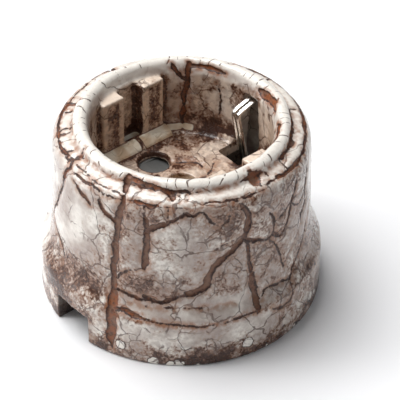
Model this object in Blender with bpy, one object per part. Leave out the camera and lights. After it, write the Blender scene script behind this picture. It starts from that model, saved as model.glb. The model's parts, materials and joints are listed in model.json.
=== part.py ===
"""Round surface-mounted socket outlet: a porcelain cover over a steatite contact base.

The frame's origin is at the centre of the back face, which lies on the wall. +Z points out of the
wall, X runs along the line of the two pins and Y through the two earth clips.
Sizes at the top are in millimetres; mm() turns them into Blender's metres.
"""

from math import cos, hypot, pi, radians, sin

import bmesh
import bpy
from mathutils import Matrix, Vector

# ---------------------------------------------------------------- driving sizes (mm)
GAP = 0.3  # clearance between pieces that touch
PIN_X = 9.5  # half of the 19 mm pin pitch

# Cover
COVER_SEGMENTS = 48
FLANGE_R = 31.5
LIP_TOP_Z = 44.2
LIP_R = 22.0
WELL_R = 19.75
WELL_FLOOR_Z = 26.0
FLOOR_THICKNESS = 3.0
POCKET_R, POCKET_Z = 13.1, 24.5  # the thinner floor over the shutter
CUP_WALL_R = 22.75
HOLLOW_R = 25.3
HOLLOW_TOP_Z = 38.5
PIN_HOLE_R = 3.3
GUIDE_FACE_X = 16.3
GUIDE_HALF_WIDTH = 8.7
GUIDE_CORNER = radians(25.5)  # where the guide block meets the well's wall
GUIDE_TOP_Z = 41.2
GROOVE_HALF_WIDTH = 2.65
GROOVE_DEPTH_X = 19.4
CLIP_SLOT_TOP_WIDTH = 4.6
CLIP_SLOT_TOP_Z = 39.8
CLIP_OPENING_WIDTH = 7.0
CLIP_OPENING_Y, CLIP_OPENING_END_Y = 13.7, 19.0
CLIP_SLOT_Y, CLIP_SLOT_END_Y = 18.0, 23.45
CABLE_NOTCH_WIDTH = 10.2
CABLE_NOTCH_HEIGHT = 7.0
CABLE_NOTCH_CORNER_R = 0.8

# Base and backing plate
BACKING_TOP_Z = 1.0
BASE_R = 24.8
BASE_BOTTOM_Z = BACKING_TOP_Z + GAP
BASE_TOP_Z = 6.3
CABLE_GAP_WIDTH = 11.0
CABLE_GAP_Y = 15.2
WALL_HOLE_X, WALL_HOLE_Y, WALL_HOLE_R = 17.8, -8.2, 2.2
WALL_HEAD_R, WALL_HEAD_Z = 4.2, 4.3
TOWER_BORE_R, TOWER_R, TOWER_TOP_Z = 4.4, 5.5, 20.2
# Start, end and steps, in degrees, of the walls round the right contact; the gap lets its bar out.
TOWER_WALLS = ((100, 140, 4), (220, 371, 12))
POST_TOP_Z, POST_HOLE_Z = 10.7, 6.0
POST_DISTANCE = 6.2
POST_R = 2.8

# Contacts and terminals
SLEEVE_BORE_R, SLEEVE_R = 2.5, 3.1
SLEEVE_BOTTOM_Z, SLEEVE_TOP_Z = 8.5, 17.5
SLEEVE_LEAD_IN = 0.35
SLEEVE_SLIT = 0.8
CLAMP_BORE_R, CLAMP_R = 3.4, 4.0
CLAMP_GAP = 25  # degrees left open on each side of the sleeve's slit line
CLAMP_BOTTOM_Z, CLAMP_TOP_Z = 14.6, 16.9
CONTACT_SCREW_TIP_Z, CONTACT_SCREW_HEAD_R, CONTACT_SCREW_HEAD = 6.6, 2.4, 1.6
BAR_ANGLE = radians(56.3)  # direction of the right contact's bar in plan
BAR_WIDTH, BAR_BOTTOM_Z, BAR_TOP_Z = 4.0, 11.0, 12.2
BAR_END = 16.0
TERMINAL_DISTANCE = 12.6
CAGE_DEPTH, CAGE_WIDTH = 5.0, 6.8
CAGE_BOTTOM_Z, CAGE_TOP_Z = 7.0, 15.0
CAGE_WALL, CAGE_ROOF = 0.9, 1.2
TERMINAL_HEAD_Z, TERMINAL_HEAD_R, TERMINAL_HEAD = 18.0, 2.7, 2.0
EARTH_TERMINAL = (10.0, -16.5)
SCREW_SHANK_R, SCREW_HOLE_R, PLATE_HOLE_R = 1.45, 1.8, 1.7

# Earth strap and clips
STRAP_HALF_WIDTH = 3.5
STRAP_BOTTOM_Z, STRAP_TOP_Z = 6.6, 7.4
STRAP_RISER_X, STRAP_BAR_END_X = (6.1, 6.9), 13.4
TAB_INNER_Y, TAB_OUTER_Y, TAB_TOP_Z = 17.2, 18.0, 13.0
CLIP_THICKNESS = 0.7
CLIP_FOOT_Y = TAB_OUTER_Y + GAP + CLIP_THICKNESS / 2
CLIP_PIVOT_Z = 10.5
CLIP_WIDTH, CLIP_FOOT_WIDTH, CLIP_SLIT = 2.3, 6.0, 0.5
CLIP_FOOT_Z, CLIP_BEND_Z, CLIP_LEAN = 8.4, 22.0, (18.45, 24.0)
CLIP_SHOULDER_Z, CLIP_SLIT_Z = 19.0, 14.5
CLIP_NOSE, CLIP_NOSE_R, CLIP_TIP = (16.9, 36.6), 1.3, (20.1, 38.9)
CLIP_REACH_Y = (10, 25)  # from inside to outside of either clip, for its cutters
RIVET_R, RIVET_HOLE_R, RIVET_HEAD_R, RIVET_HEAD = 1.1, 1.4, 1.9, 0.7
STRAP_SCREW_Y, STRAP_SCREW_TIP_Z, STRAP_SCREW_HOLE_Z = 10.5, 2.9, 2.5
STRAP_SCREW_HEAD_R, STRAP_SCREW_HEAD = 2.6, 1.7

# Shutter
HUB_R, HUB_BORE_R = 3.6, 2.1
COLLAR_BORE_R, COLLAR_R = 4.6, 5.3
CARRIER_R, CARRIER_BOTTOM_Z, CARRIER_TOP_Z = 12.8, 20.5, 22.2
SHUTTER_BOTTOM_Z, SHUTTER_TOP_Z = 22.5, 24.2
WINDOW_R = 2.7
SHUTTER_TURN = radians(50)
PEG_R, PEG_DISTANCE, PEG_BOTTOM_Z = 0.6, 7.2, 18.0
PEG_ANGLE = radians(65)
PEG_SLOT_START, PEG_SLOT_END = 52, 128  # degrees, wide enough for the peg through SHUTTER_TURN
RAMP_SLOPE, RAMP_HALF_WIDTH, RAMP_LENGTH = radians(7), 2.6, 8.0
SPRING_R, SPRING_WIRE_R, SPRING_TURNS = 4.35, 0.28, 5
SPRING_START = radians(30)
SPRING_BOTTOM_Z, SPRING_TOP_Z = 8.6, 17.4

# Central screw
COVER_SCREW_R, COVER_SCREW_HEAD_R = 1.75, 2.8
COVER_SCREW_HOLE_R = 2.3
COVER_SCREW_TIP_Z, COVER_SCREW_HEAD = 3.0, 1.5
SCREW_WELL_R, SCREW_WELL_Z = 3.3, 22.2
SCREW_BOSS_R, SCREW_BOSS_Z = 4.3, 21.0
WASHER_R, WASHER_TOP_Z = 3.0, 23.0
INSERT_R, INSERT_BORE_R = 3.0, 2.05
INSERT_BOTTOM_Z, INSERT_TOP_Z = 2.2, 6.3

REACH = 60.0  # longer than the whole part, for cutters that run right through
FULL_TURN = 2 * pi
# Pieces joined or cut along faces in one plane, which the exact solver leaves open.
SHARED_FACES = ("porcelain_cover", "contact_base", "earth_strap", "shutter_carrier", "shutter_disc")

# ---------------------------------------------------------------- finishes: colour, roughness, metallic
FINISHES = {
    "glaze": ((0.76, 0.70, 0.66), 0.12, 0.0),
    "steatite": ((0.78, 0.73, 0.64), 0.6, 0.0),
    "fibre": ((0.16, 0.10, 0.07), 0.8, 0.0),
    "grey_plastic": ((0.30, 0.33, 0.35), 0.45, 0.0),
    "brass": ((0.72, 0.52, 0.24), 0.3, 1.0),
    "nickel": ((0.70, 0.69, 0.66), 0.2, 1.0),
    "steel": ((0.55, 0.56, 0.57), 0.35, 1.0),
}


def mm(value):
    return value / 1000


def clear_scene():
    for piece in list(bpy.data.objects):
        bpy.data.objects.remove(piece, do_unlink=True)


def finish(name):
    """The material of that name, made on first use."""
    material = bpy.data.materials.get(name)
    if material:
        return material
    colour, roughness, metallic = FINISHES[name]
    material = bpy.data.materials.new(name)
    material.use_nodes = True
    shader = material.node_tree.nodes["Principled BSDF"]
    shader.inputs["Base Color"].default_value = (*colour, 1.0)
    shader.inputs["Roughness"].default_value = roughness
    shader.inputs["Metallic"].default_value = metallic
    return material


# ---------------------------------------------------------------- mesh helpers
def new_piece(name, mesh_builder, finish_name):
    """An object whose mesh comes from a bmesh in millimetres."""
    bmesh.ops.recalc_face_normals(mesh_builder, faces=mesh_builder.faces)
    bmesh.ops.scale(mesh_builder, vec=Vector((mm(1), mm(1), mm(1))), verts=mesh_builder.verts)
    mesh = bpy.data.meshes.new(name)
    mesh_builder.to_mesh(mesh)
    mesh_builder.free()
    mesh.shade_smooth()
    mesh.set_sharp_from_angle(angle=radians(35))
    mesh.materials.append(finish(finish_name))
    piece = bpy.data.objects.new(name, mesh)
    bpy.context.collection.objects.link(piece)
    return piece


def ring(builder, radius, z, segments):
    """A circle of vertices, or one vertex where the radius is nothing."""
    if radius == 0:
        return [builder.verts.new((0, 0, z))]
    steps = [FULL_TURN * i / segments for i in range(segments)]
    return [builder.verts.new((radius * cos(a), radius * sin(a), z)) for a in steps]


def join_rings(builder, low, high):
    count = max(len(low), len(high))
    for i in range(count):
        j = (i + 1) % count
        if len(low) == 1:
            builder.faces.new((low[0], high[i], high[j]))
        elif len(high) == 1:
            builder.faces.new((low[i], high[0], low[j]))
        else:
            builder.faces.new((low[i], high[i], high[j], low[j]))


def turned(name, profile, finish_name, segments=24):
    """A solid of revolution. A profile that meets the axis is open there, any other one is a closed loop."""
    builder = bmesh.new()
    rings = [ring(builder, radius, z, segments) for radius, z in profile]
    for low, high in zip(rings, rings[1:]):
        join_rings(builder, low, high)
    if profile[0][0] > 0:
        join_rings(builder, rings[-1], rings[0])
    return new_piece(name, builder, finish_name)


def rod_profile(radius, bottom, top, chamfer=0.0):
    if chamfer == 0:
        return [(0, bottom), (radius, bottom), (radius, top), (0, top)]
    return [(0, bottom), (radius, bottom), (radius, top - chamfer), (radius - chamfer, top), (0, top)]


def tube_profile(bore, radius, bottom, top):
    return [(bore, bottom), (radius, bottom), (radius, top), (bore, top)]


def prism(name, outline, low, high, finish_name, frame=Matrix.Identity(4)):
    """A plan outline raised from low to high along the frame's Z."""
    builder = bmesh.new()
    base = builder.faces.new([builder.verts.new((x, y, low)) for x, y in outline])
    raised = bmesh.ops.extrude_face_region(builder, geom=[base])
    tops = [v for v in raised["geom"] if isinstance(v, bmesh.types.BMVert)]
    bmesh.ops.translate(builder, verts=tops, vec=(0, 0, high - low))
    bmesh.ops.transform(builder, matrix=frame, verts=builder.verts)
    return new_piece(name, builder, finish_name)


def rectangle(x0, x1, y0, y1):
    return [(x0, y0), (x1, y0), (x1, y1), (x0, y1)]


def block(name, x, y, z, finish_name="steel"):
    return prism(name, rectangle(*x, *y), *z, finish_name)


def arc(centre, radius, start, end, steps):
    """Points on an arc, angles in radians."""
    turns = [start + (end - start) * i / steps for i in range(steps + 1)]
    return [(centre[0] + radius * cos(a), centre[1] + radius * sin(a)) for a in turns]


def sector(bore, radius, start, end, steps, centre=(0, 0)):
    """Outline of a ring's part between two angles in degrees."""
    outside = arc(centre, radius, radians(start), radians(end), steps)
    inside = arc(centre, bore, radians(end), radians(start), steps)
    return outside + inside


def ribbon(path, thickness):
    """Outline of a strip of that thickness along a path of points."""
    left, right = [], []
    for i, point in enumerate(path):
        before, after = path[max(i - 1, 0)], path[min(i + 1, len(path) - 1)]
        dx, dy = after[0] - before[0], after[1] - before[1]
        length = hypot(dx, dy)
        offset = (-dy / length * thickness / 2, dx / length * thickness / 2)
        left.append((point[0] + offset[0], point[1] + offset[1]))
        right.append((point[0] - offset[0], point[1] - offset[1]))
    return left + right[::-1]


def place(piece, x=0.0, y=0.0, z=0.0, turn=0.0):
    """Moves a piece to its place in millimetres and turns it about +Z."""
    piece.location = Vector((mm(x), mm(y), mm(z)))
    piece.rotation_euler = (0, 0, turn)
    return piece


def combine(piece, operation, others):
    """Cuts other shapes from a piece, or joins them to it, and leaves them out of the part."""
    solver = "MANIFOLD" if piece.name in SHARED_FACES else "EXACT"
    for other in others:
        other.hide_render = True
        other.display_type = "WIRE"
        step = piece.modifiers.new(other.name, "BOOLEAN")
        step.operation = operation
        step.solver = solver
        step.object = other
    return piece


def cut(piece, *cutters):
    return combine(piece, "DIFFERENCE", cutters)


def join(piece, *others):
    return combine(piece, "UNION", others)


def hole(name, x, y, radius, z, segments=20):
    """A cutter for a round hole along Z."""
    return place(turned(name, rod_profile(radius, *z), "steel", segments), x, y)


# Local frame for shapes drawn in the YZ plane and raised along X.
SIDEWAYS = Matrix(((0, 0, 1, 0), (1, 0, 0, 0), (0, 1, 0, 0), (0, 0, 0, 1)))
# Local frame for shapes drawn in the XZ plane and raised along +Y.
UPRIGHT = Matrix(((1, 0, 0, 0), (0, 0, 1, 0), (0, 1, 0, 0), (0, 0, 0, 1)))


def slotted_screw(name, x, y, shank_r, tip_z, seat_z, head_r, head_height, finish_name, turn=0.0):
    """A cheese-head screw pointing down, with a driver slot."""
    head_top = seat_z + head_height
    shoulder = head_height * 0.3
    profile = [
        (0, tip_z),
        (shank_r - 0.4, tip_z),
        (shank_r, tip_z + 0.6),
        (shank_r, seat_z),
        (head_r, seat_z),
        (head_r, head_top - shoulder),
        (head_r - shoulder, head_top),
        (0, head_top),
    ]
    slot_depth, slot_width = head_height * 0.45, head_r * 0.28
    screw = place(turned(name, profile, finish_name, 20), x, y, 0, turn)
    slot = block(
        f"{name}_slot_cutter",
        (-head_r - 1, head_r + 1),
        (-slot_width / 2, slot_width / 2),
        (head_top - slot_depth, head_top + 1),
    )
    return cut(screw, place(slot, x, y, 0, turn))


# ---------------------------------------------------------------- cover
def cover_profile():
    """Outside from the rim up to the lip, down the well, then the hollow behind it."""
    outside = [
        (FLANGE_R - 0.3, 0),
        (FLANGE_R, 0.8),
        (FLANGE_R, 10.8),
        (30.6, 12.8),
        (29.4, 14.8),
        (28.8, 18.0),
        (28.3, 36.7),
        (28.0, 39.3),
        (26.8, 41.3),
        (24.4, 41.9),
        (23.9, 43.1),
        (23.1, 43.9),
        (LIP_R, LIP_TOP_Z),
        (20.9, 43.8),
    ]
    well = [
        (20.1, 42.3),
        (WELL_R, 40.6),
        (WELL_R, WELL_FLOOR_Z + 1.0),
        (WELL_R - 0.3, WELL_FLOOR_Z + 0.3),
        (WELL_R - 1.0, WELL_FLOOR_Z),
        (0, WELL_FLOOR_Z),
    ]
    hollow = [
        (0, SCREW_BOSS_Z),
        (SCREW_BOSS_R, SCREW_BOSS_Z),
        (SCREW_BOSS_R, POCKET_Z),
        (POCKET_R, POCKET_Z),
        (POCKET_R, WELL_FLOOR_Z - FLOOR_THICKNESS),
        (CUP_WALL_R, WELL_FLOOR_Z - FLOOR_THICKNESS),
        (CUP_WALL_R, HOLLOW_TOP_Z),
        (HOLLOW_R, HOLLOW_TOP_Z),
        (HOLLOW_R, 0),
    ]
    return hollow + outside + well


def guide_outline():
    """One guide block in plan: a chord block in the well with the plug's groove down its middle."""
    bite = 0.6  # into the wall, so that the two join
    back = arc((0, 0), WELL_R + bite, -GUIDE_CORNER, GUIDE_CORNER, 7)
    face = [
        (GUIDE_FACE_X, GUIDE_HALF_WIDTH),
        (GUIDE_FACE_X, GROOVE_HALF_WIDTH),
        (GROOVE_DEPTH_X, GROOVE_HALF_WIDTH),
        (GROOVE_DEPTH_X, -GROOVE_HALF_WIDTH),
        (GUIDE_FACE_X, -GROOVE_HALF_WIDTH),
        (GUIDE_FACE_X, -GUIDE_HALF_WIDTH),
    ]
    return back + face


def clip_slot_outline():
    """The slot behind a clip, across the wall: as wide as the floor's opening below, narrower at the top."""
    low, high = CLIP_OPENING_WIDTH / 2, CLIP_SLOT_TOP_WIDTH / 2
    bottom_z = WELL_FLOOR_Z - FLOOR_THICKNESS - 1
    right = [(low, bottom_z), (low, WELL_FLOOR_Z), (high, CLIP_SLOT_TOP_Z)]
    return right + [(-y, z) for y, z in reversed(right)]


def cable_notch_outline():
    """The entry's outline across the wall, with small rounded upper corners, open at the bottom."""
    half, radius = CABLE_NOTCH_WIDTH / 2, CABLE_NOTCH_CORNER_R
    top = CABLE_NOTCH_HEIGHT
    right = arc((half - radius, top - radius), radius, 0, pi / 2, 2)
    left = arc((radius - half, top - radius), radius, pi / 2, pi, 2)
    return [(-half, -1.0), (half, -1.0)] + right + left


def make_cover():
    floor_z = (WELL_FLOOR_Z - FLOOR_THICKNESS - 1, WELL_FLOOR_Z + 1)
    cover = turned("porcelain_cover", cover_profile(), "glaze", COVER_SEGMENTS)
    guides = [
        place(prism(f"guide_{i}", guide_outline(), WELL_FLOOR_Z - 0.6, GUIDE_TOP_Z, "glaze"), turn=pi * i)
        for i in range(2)
    ]
    join(cover, *guides)
    for side in (-1, 1):
        cut(cover, hole(f"pin_hole_{side}", side * PIN_X, 0, PIN_HOLE_R, floor_z))
    cut(
        cover,
        hole("screw_hole", 0, 0, COVER_SCREW_HOLE_R, (SCREW_BOSS_Z - 1, floor_z[1])),
        hole("screw_well", 0, 0, SCREW_WELL_R, (SCREW_WELL_Z, floor_z[1]), 24),
    )
    half_opening = CLIP_OPENING_WIDTH / 2
    for i in range(2):
        opening = block(
            f"clip_opening_{i}", (-half_opening, half_opening), (CLIP_OPENING_Y, CLIP_OPENING_END_Y), floor_z
        )
        slot = prism(
            f"clip_slot_{i}", clip_slot_outline(), CLIP_SLOT_Y, CLIP_SLOT_END_Y, "glaze", UPRIGHT
        )
        notch = prism(
            f"cable_notch_{i}", cable_notch_outline(), HOLLOW_R - 1.5, FLANGE_R + 2, "glaze", UPRIGHT
        )
        cut(cover, *[place(cutter, turn=pi * i) for cutter in (opening, slot, notch)])
    return cover


def make_cover_screw():
    washer = turned(
        "cover_screw_washer",
        tube_profile(INSERT_BORE_R + 0.05, WASHER_R, SCREW_WELL_Z + GAP, WASHER_TOP_Z),
        "fibre",
    )
    screw = slotted_screw(
        "cover_screw",
        0,
        0,
        COVER_SCREW_R,
        COVER_SCREW_TIP_Z,
        WASHER_TOP_Z + GAP,
        COVER_SCREW_HEAD_R,
        COVER_SCREW_HEAD,
        "brass",
        0.5,
    )
    return washer, screw


# ---------------------------------------------------------------- base
def flat_cutters(owner, z):
    """Cable gaps and wall-screw holes, which the base and its backing plate share."""
    half = CABLE_GAP_WIDTH / 2
    gaps = [
        place(block(f"{owner}_cable_gap_{i}", (-half, half), (CABLE_GAP_Y, REACH / 2), z), turn=pi * i)
        for i in range(2)
    ]
    holes = [
        hole(f"{owner}_wall_hole_{side}", side * WALL_HOLE_X, side * WALL_HOLE_Y, WALL_HOLE_R, z)
        for side in (-1, 1)
    ]
    return gaps + holes


def make_backing_plate():
    plate = turned("backing_plate", rod_profile(BASE_R - 0.2, 0, BACKING_TOP_Z), "fibre", 48)
    return cut(plate, *flat_cutters("backing", (-1, BACKING_TOP_Z + 1)))


def make_contact_base():
    base = turned("contact_base", rod_profile(BASE_R, BASE_BOTTOM_Z, BASE_TOP_Z, 0.6), "steatite", 48)
    cut(base, *flat_cutters("base", (BASE_BOTTOM_Z - 1, BASE_TOP_Z + 1)))
    above = BASE_TOP_Z + 1
    cut(base, hole("insert_pocket", 0, 0, INSERT_R + GAP, (INSERT_BOTTOM_Z - GAP, above)))
    for side, turn in ((1, 0), (-1, pi)):
        name = f"tower_{side}"
        cut(
            base,
            hole(
                f"wall_head_{side}", side * WALL_HOLE_X, side * WALL_HOLE_Y, WALL_HEAD_R, (WALL_HEAD_Z, above)
            ),
            hole(
                f"strap_screw_hole_{side}", 0, side * STRAP_SCREW_Y, SCREW_HOLE_R, (STRAP_SCREW_HOLE_Z, above)
            ),
        )
        towers = [
            place(
                prism(
                    f"{name}_{i}",
                    sector(TOWER_BORE_R, TOWER_R, start, end, steps, (PIN_X, 0)),
                    BASE_TOP_Z - 1,
                    TOWER_TOP_Z,
                    "steatite",
                ),
                turn=turn,
            )
            for i, (start, end, steps) in enumerate(TOWER_WALLS)
        ]
        x, y = along_bar(POST_DISTANCE, turn)
        post = hole(f"post_{side}", x, y, POST_R, (BASE_TOP_Z - 1, POST_TOP_Z))
        join(base, post, *towers)
        cut(base, hole(f"post_hole_{side}", x, y, SCREW_HOLE_R, (POST_HOLE_Z, POST_TOP_Z + 1)))
    return base


def make_insert():
    return turned(
        "brass_insert", tube_profile(INSERT_BORE_R, INSERT_R, INSERT_BOTTOM_Z, INSERT_TOP_Z), "brass"
    )


# ---------------------------------------------------------------- contacts and terminals
def along_bar(distance, turn):
    """Plan position at a distance along the bar of the contact that is turned about the centre."""
    x, y = PIN_X + distance * cos(BAR_ANGLE), distance * sin(BAR_ANGLE)
    return x * cos(turn) - y * sin(turn), x * sin(turn) + y * cos(turn)


def make_contact(side_name, turn):
    name = f"line_contact_{side_name}"
    x, y = along_bar(0, turn)
    half = BAR_WIDTH / 2
    profile = [
        (SLEEVE_BORE_R, SLEEVE_BOTTOM_Z),
        (SLEEVE_R, SLEEVE_BOTTOM_Z),
        (SLEEVE_R, SLEEVE_TOP_Z),
        (SLEEVE_BORE_R + SLEEVE_LEAD_IN * 0.8, SLEEVE_TOP_Z),
        (SLEEVE_BORE_R, SLEEVE_TOP_Z - SLEEVE_LEAD_IN),
    ]
    sleeve = place(turned(name, profile, "brass", 24), x, y, 0, turn + BAR_ANGLE)
    bar = prism(
        f"{name}_bar", rectangle(SLEEVE_BORE_R + 0.15, BAR_END, -half, half), BAR_BOTTOM_Z, BAR_TOP_Z, "brass"
    )
    slit = block(
        f"{name}_slit",
        (-SLEEVE_R - 1, -SLEEVE_BORE_R + 1),
        (-SLEEVE_SLIT / 2, SLEEVE_SLIT / 2),
        (0, REACH),
    )
    bar_z = (BAR_BOTTOM_Z - 1, BAR_TOP_Z + 1)
    bar_hole = hole(f"{name}_hole", *along_bar(POST_DISTANCE, turn), PLATE_HOLE_R, bar_z)
    join(sleeve, place(bar, x, y, 0, turn + BAR_ANGLE))
    cut(sleeve, place(slit, x, y, 0, turn + BAR_ANGLE), bar_hole)

    clamp = prism(
        f"contact_spring_{side_name}",
        sector(CLAMP_BORE_R, CLAMP_R, CLAMP_GAP, 360 - CLAMP_GAP, 20),
        CLAMP_BOTTOM_Z,
        CLAMP_TOP_Z,
        "steel",
    )
    place(clamp, x, y, 0, turn + BAR_ANGLE)
    slotted_screw(
        f"contact_screw_{side_name}",
        *along_bar(POST_DISTANCE, turn),
        SCREW_SHANK_R,
        CONTACT_SCREW_TIP_Z,
        BAR_TOP_Z + GAP,
        CONTACT_SCREW_HEAD_R,
        CONTACT_SCREW_HEAD,
        "steel",
        turn,
    )


def make_terminal(side_name, x, y, turn):
    """A rising cage round the end of a bar, and the screw that lifts it."""
    half_width, half_depth = CAGE_WIDTH / 2, CAGE_DEPTH / 2
    name = f"terminal_cage_{side_name}"
    cage = prism(
        name,
        rectangle(-half_depth, half_depth, -half_width, half_width),
        CAGE_BOTTOM_Z,
        CAGE_TOP_Z,
        "nickel",
    )
    place(cage, x, y, 0, turn)
    window = block(
        f"{name}_window",
        (-half_depth - 1, half_depth + 1),
        (CAGE_WALL - half_width, half_width - CAGE_WALL),
        (CAGE_BOTTOM_Z + CAGE_WALL, CAGE_TOP_Z - CAGE_ROOF),
    )
    roof_z = (CAGE_TOP_Z - CAGE_ROOF - 1, CAGE_TOP_Z + 1)
    cut(cage, place(window, x, y, 0, turn), hole(f"{name}_hole", x, y, SCREW_HOLE_R, roof_z))
    slotted_screw(
        f"terminal_screw_{side_name}",
        x,
        y,
        SCREW_SHANK_R,
        BAR_TOP_Z + GAP,
        TERMINAL_HEAD_Z,
        TERMINAL_HEAD_R,
        TERMINAL_HEAD,
        "steel",
        turn + 0.7,
    )


# ---------------------------------------------------------------- earth path
def make_earth_strap():
    """A flat strap with an upturned end under each clip, and an arm that carries the terminal bar."""
    width = STRAP_HALF_WIDTH
    strap = block("earth_strap", (-width, width), (-TAB_OUTER_Y, TAB_OUTER_Y), (STRAP_BOTTOM_Z, STRAP_TOP_Z))
    strap.data.materials[0] = finish("nickel")
    half_tab = CLIP_FOOT_WIDTH / 2
    for i in range(2):
        tab = block(
            f"strap_tab_{i}", (-half_tab, half_tab), (TAB_INNER_Y, TAB_OUTER_Y), (STRAP_BOTTOM_Z, TAB_TOP_Z)
        )
        join(strap, place(tab, turn=pi * i))
    riser_x = STRAP_RISER_X
    arm_y = (EARTH_TERMINAL[1] - BAR_WIDTH / 2, EARTH_TERMINAL[1] + BAR_WIDTH / 2)
    arm = block("strap_arm", (0, riser_x[1]), arm_y, (STRAP_BOTTOM_Z, STRAP_TOP_Z))
    riser = block("strap_riser", riser_x, arm_y, (STRAP_BOTTOM_Z, BAR_TOP_Z))
    bar = block("strap_bar", (riser_x[0], STRAP_BAR_END_X), arm_y, (BAR_BOTTOM_Z, BAR_TOP_Z))
    join(strap, arm, riser, bar)
    strap_z = (STRAP_BOTTOM_Z - 1, STRAP_TOP_Z + 1)
    cut(strap, hole("strap_centre_hole", 0, 0, COVER_SCREW_HOLE_R, strap_z))
    for i, name in ((-1, "front"), (1, "rear")):
        y = i * STRAP_SCREW_Y
        screw_hole = hole(f"strap_hole_{name}", 0, y, PLATE_HOLE_R, strap_z)
        cut(strap, screw_hole, rivet_hole(f"strap_{name}", i))
        slotted_screw(
            f"earth_strap_screw_{name}",
            0,
            y,
            SCREW_SHANK_R,
            STRAP_SCREW_TIP_Z,
            STRAP_TOP_Z + GAP,
            STRAP_SCREW_HEAD_R,
            STRAP_SCREW_HEAD,
            "steel",
            0.3 * i,
        )
    return strap


def rivet_hole(owner, side):
    """A cutter along Y at a clip's rivet."""
    cutter = turned(
        f"{owner}_rivet_hole", rod_profile(RIVET_HOLE_R, TAB_INNER_Y - 2, CLIP_FOOT_Y + 2), "steel", 16
    )
    cutter.rotation_euler = (-side * pi / 2, 0, 0)
    cutter.location = (0, 0, mm(CLIP_PIVOT_Z))
    return cutter


def clip_path():
    """The blade's centre line in the YZ plane: up from the foot, in to the nose, and back out."""
    limb_in, limb_out = radians(197), radians(118)
    foot = [(CLIP_FOOT_Y, CLIP_FOOT_Z), (CLIP_FOOT_Y, CLIP_BEND_Z), CLIP_LEAN]
    return foot + arc(CLIP_NOSE, CLIP_NOSE_R, limb_in, limb_out, 6) + [CLIP_TIP]


def make_earth_clip(name, side):
    turn = 0 if side == 1 else pi
    half = CLIP_FOOT_WIDTH / 2
    outline = ribbon(clip_path(), CLIP_THICKNESS)
    clip = prism(name, outline, -half, half, "nickel", SIDEWAYS)
    # The joint's axis runs through the rivet, so the blade's own origin is there.
    clip.data.transform(Matrix.Translation(Vector((0, mm(-CLIP_FOOT_Y), mm(-CLIP_PIVOT_Z)))))
    place(clip, 0, side * CLIP_FOOT_Y, CLIP_PIVOT_Z, turn)
    for edge in (-1, 1):
        x = sorted((edge * CLIP_WIDTH / 2, edge * REACH / 2))
        cut(clip, place(block(f"{name}_side_{edge}", x, CLIP_REACH_Y, (CLIP_SHOULDER_Z, REACH)), turn=turn))
    slit = block(f"{name}_slit", (-CLIP_SLIT / 2, CLIP_SLIT / 2), CLIP_REACH_Y, (CLIP_SLIT_Z, REACH))
    cut(clip, place(slit, turn=turn), rivet_hole(name, side))
    return clip


def make_rivet(name, side):
    inner, outer = TAB_INNER_Y - GAP, CLIP_FOOT_Y + CLIP_THICKNESS / 2 + GAP
    profile = [
        (0, inner - RIVET_HEAD),
        (RIVET_HEAD_R - 0.4, inner - RIVET_HEAD),
        (RIVET_HEAD_R, inner),
        (RIVET_R, inner),
        (RIVET_R, outer),
        (RIVET_HEAD_R, outer),
        (RIVET_HEAD_R - 0.4, outer + RIVET_HEAD),
        (0, outer + RIVET_HEAD),
    ]
    rivet = turned(name, profile, "steel", 16)
    rivet.rotation_euler = (-side * pi / 2, 0, 0)
    rivet.location = (0, 0, mm(CLIP_PIVOT_Z))
    return rivet


# ---------------------------------------------------------------- shutter
def make_shutter_carrier():
    profile = [
        (HUB_BORE_R, STRAP_TOP_Z + GAP),
        (HUB_R, STRAP_TOP_Z + GAP),
        (HUB_R, CARRIER_BOTTOM_Z - 2.1),
        (COLLAR_R, CARRIER_BOTTOM_Z - 1.1),
        (COLLAR_R, CARRIER_BOTTOM_Z),
        (CARRIER_R, CARRIER_BOTTOM_Z),
        (CARRIER_R, CARRIER_TOP_Z),
        (COLLAR_R, CARRIER_TOP_Z),
        (COLLAR_R, SHUTTER_TOP_Z),
        (COLLAR_BORE_R, SHUTTER_TOP_Z),
        (COLLAR_BORE_R, SCREW_BOSS_Z - GAP - 0.1),
        (HUB_BORE_R, SCREW_BOSS_Z - GAP - 0.1),
    ]
    carrier = turned("shutter_carrier", profile, "grey_plastic", 40)
    z = (CARRIER_BOTTOM_Z - 1, CARRIER_TOP_Z + 1)
    slot = sector(PEG_DISTANCE - 1, PEG_DISTANCE + 1, PEG_SLOT_START, PEG_SLOT_END, 8)
    peg_slot = prism("peg_slot", slot, *z, "steel")
    windows = [hole(f"carrier_window_{side}", side * PIN_X, 0, WINDOW_R, z) for side in (-1, 1)]
    return cut(carrier, peg_slot, *windows)


def make_shutter_disc():
    """A disc whose windows come under the pin holes after SHUTTER_TURN, with a ramp beside each one."""
    disc = turned(
        "shutter_disc",
        tube_profile(COLLAR_R + GAP, CARRIER_R, SHUTTER_BOTTOM_Z, SHUTTER_TOP_Z),
        "grey_plastic",
        40,
    )
    peg_x, peg_y = PEG_DISTANCE * cos(PEG_ANGLE), PEG_DISTANCE * sin(PEG_ANGLE)
    peg = hole("shutter_peg", peg_x, peg_y, PEG_R, (PEG_BOTTOM_Z, SHUTTER_BOTTOM_Z + 0.5), 12)
    join(disc, peg)
    ramp_x = (PIN_X - RAMP_HALF_WIDTH, PIN_X + RAMP_HALF_WIDTH)
    for i in range(2):
        turn = pi * i - SHUTTER_TURN
        x, y = PIN_X * cos(turn), PIN_X * sin(turn)
        window = hole(f"shutter_window_{i}", x, y, WINDOW_R, (SHUTTER_BOTTOM_Z - 1, SHUTTER_TOP_Z + 1))
        ramp = block(f"shutter_ramp_{i}", ramp_x, (-RAMP_LENGTH, 0.6), (0, 4))
        ramp.rotation_euler = (RAMP_SLOPE, 0, pi * i)
        ramp.location = (0, 0, mm(SHUTTER_TOP_Z - 0.1))
        cut(disc, window, ramp)
    return disc


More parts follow.
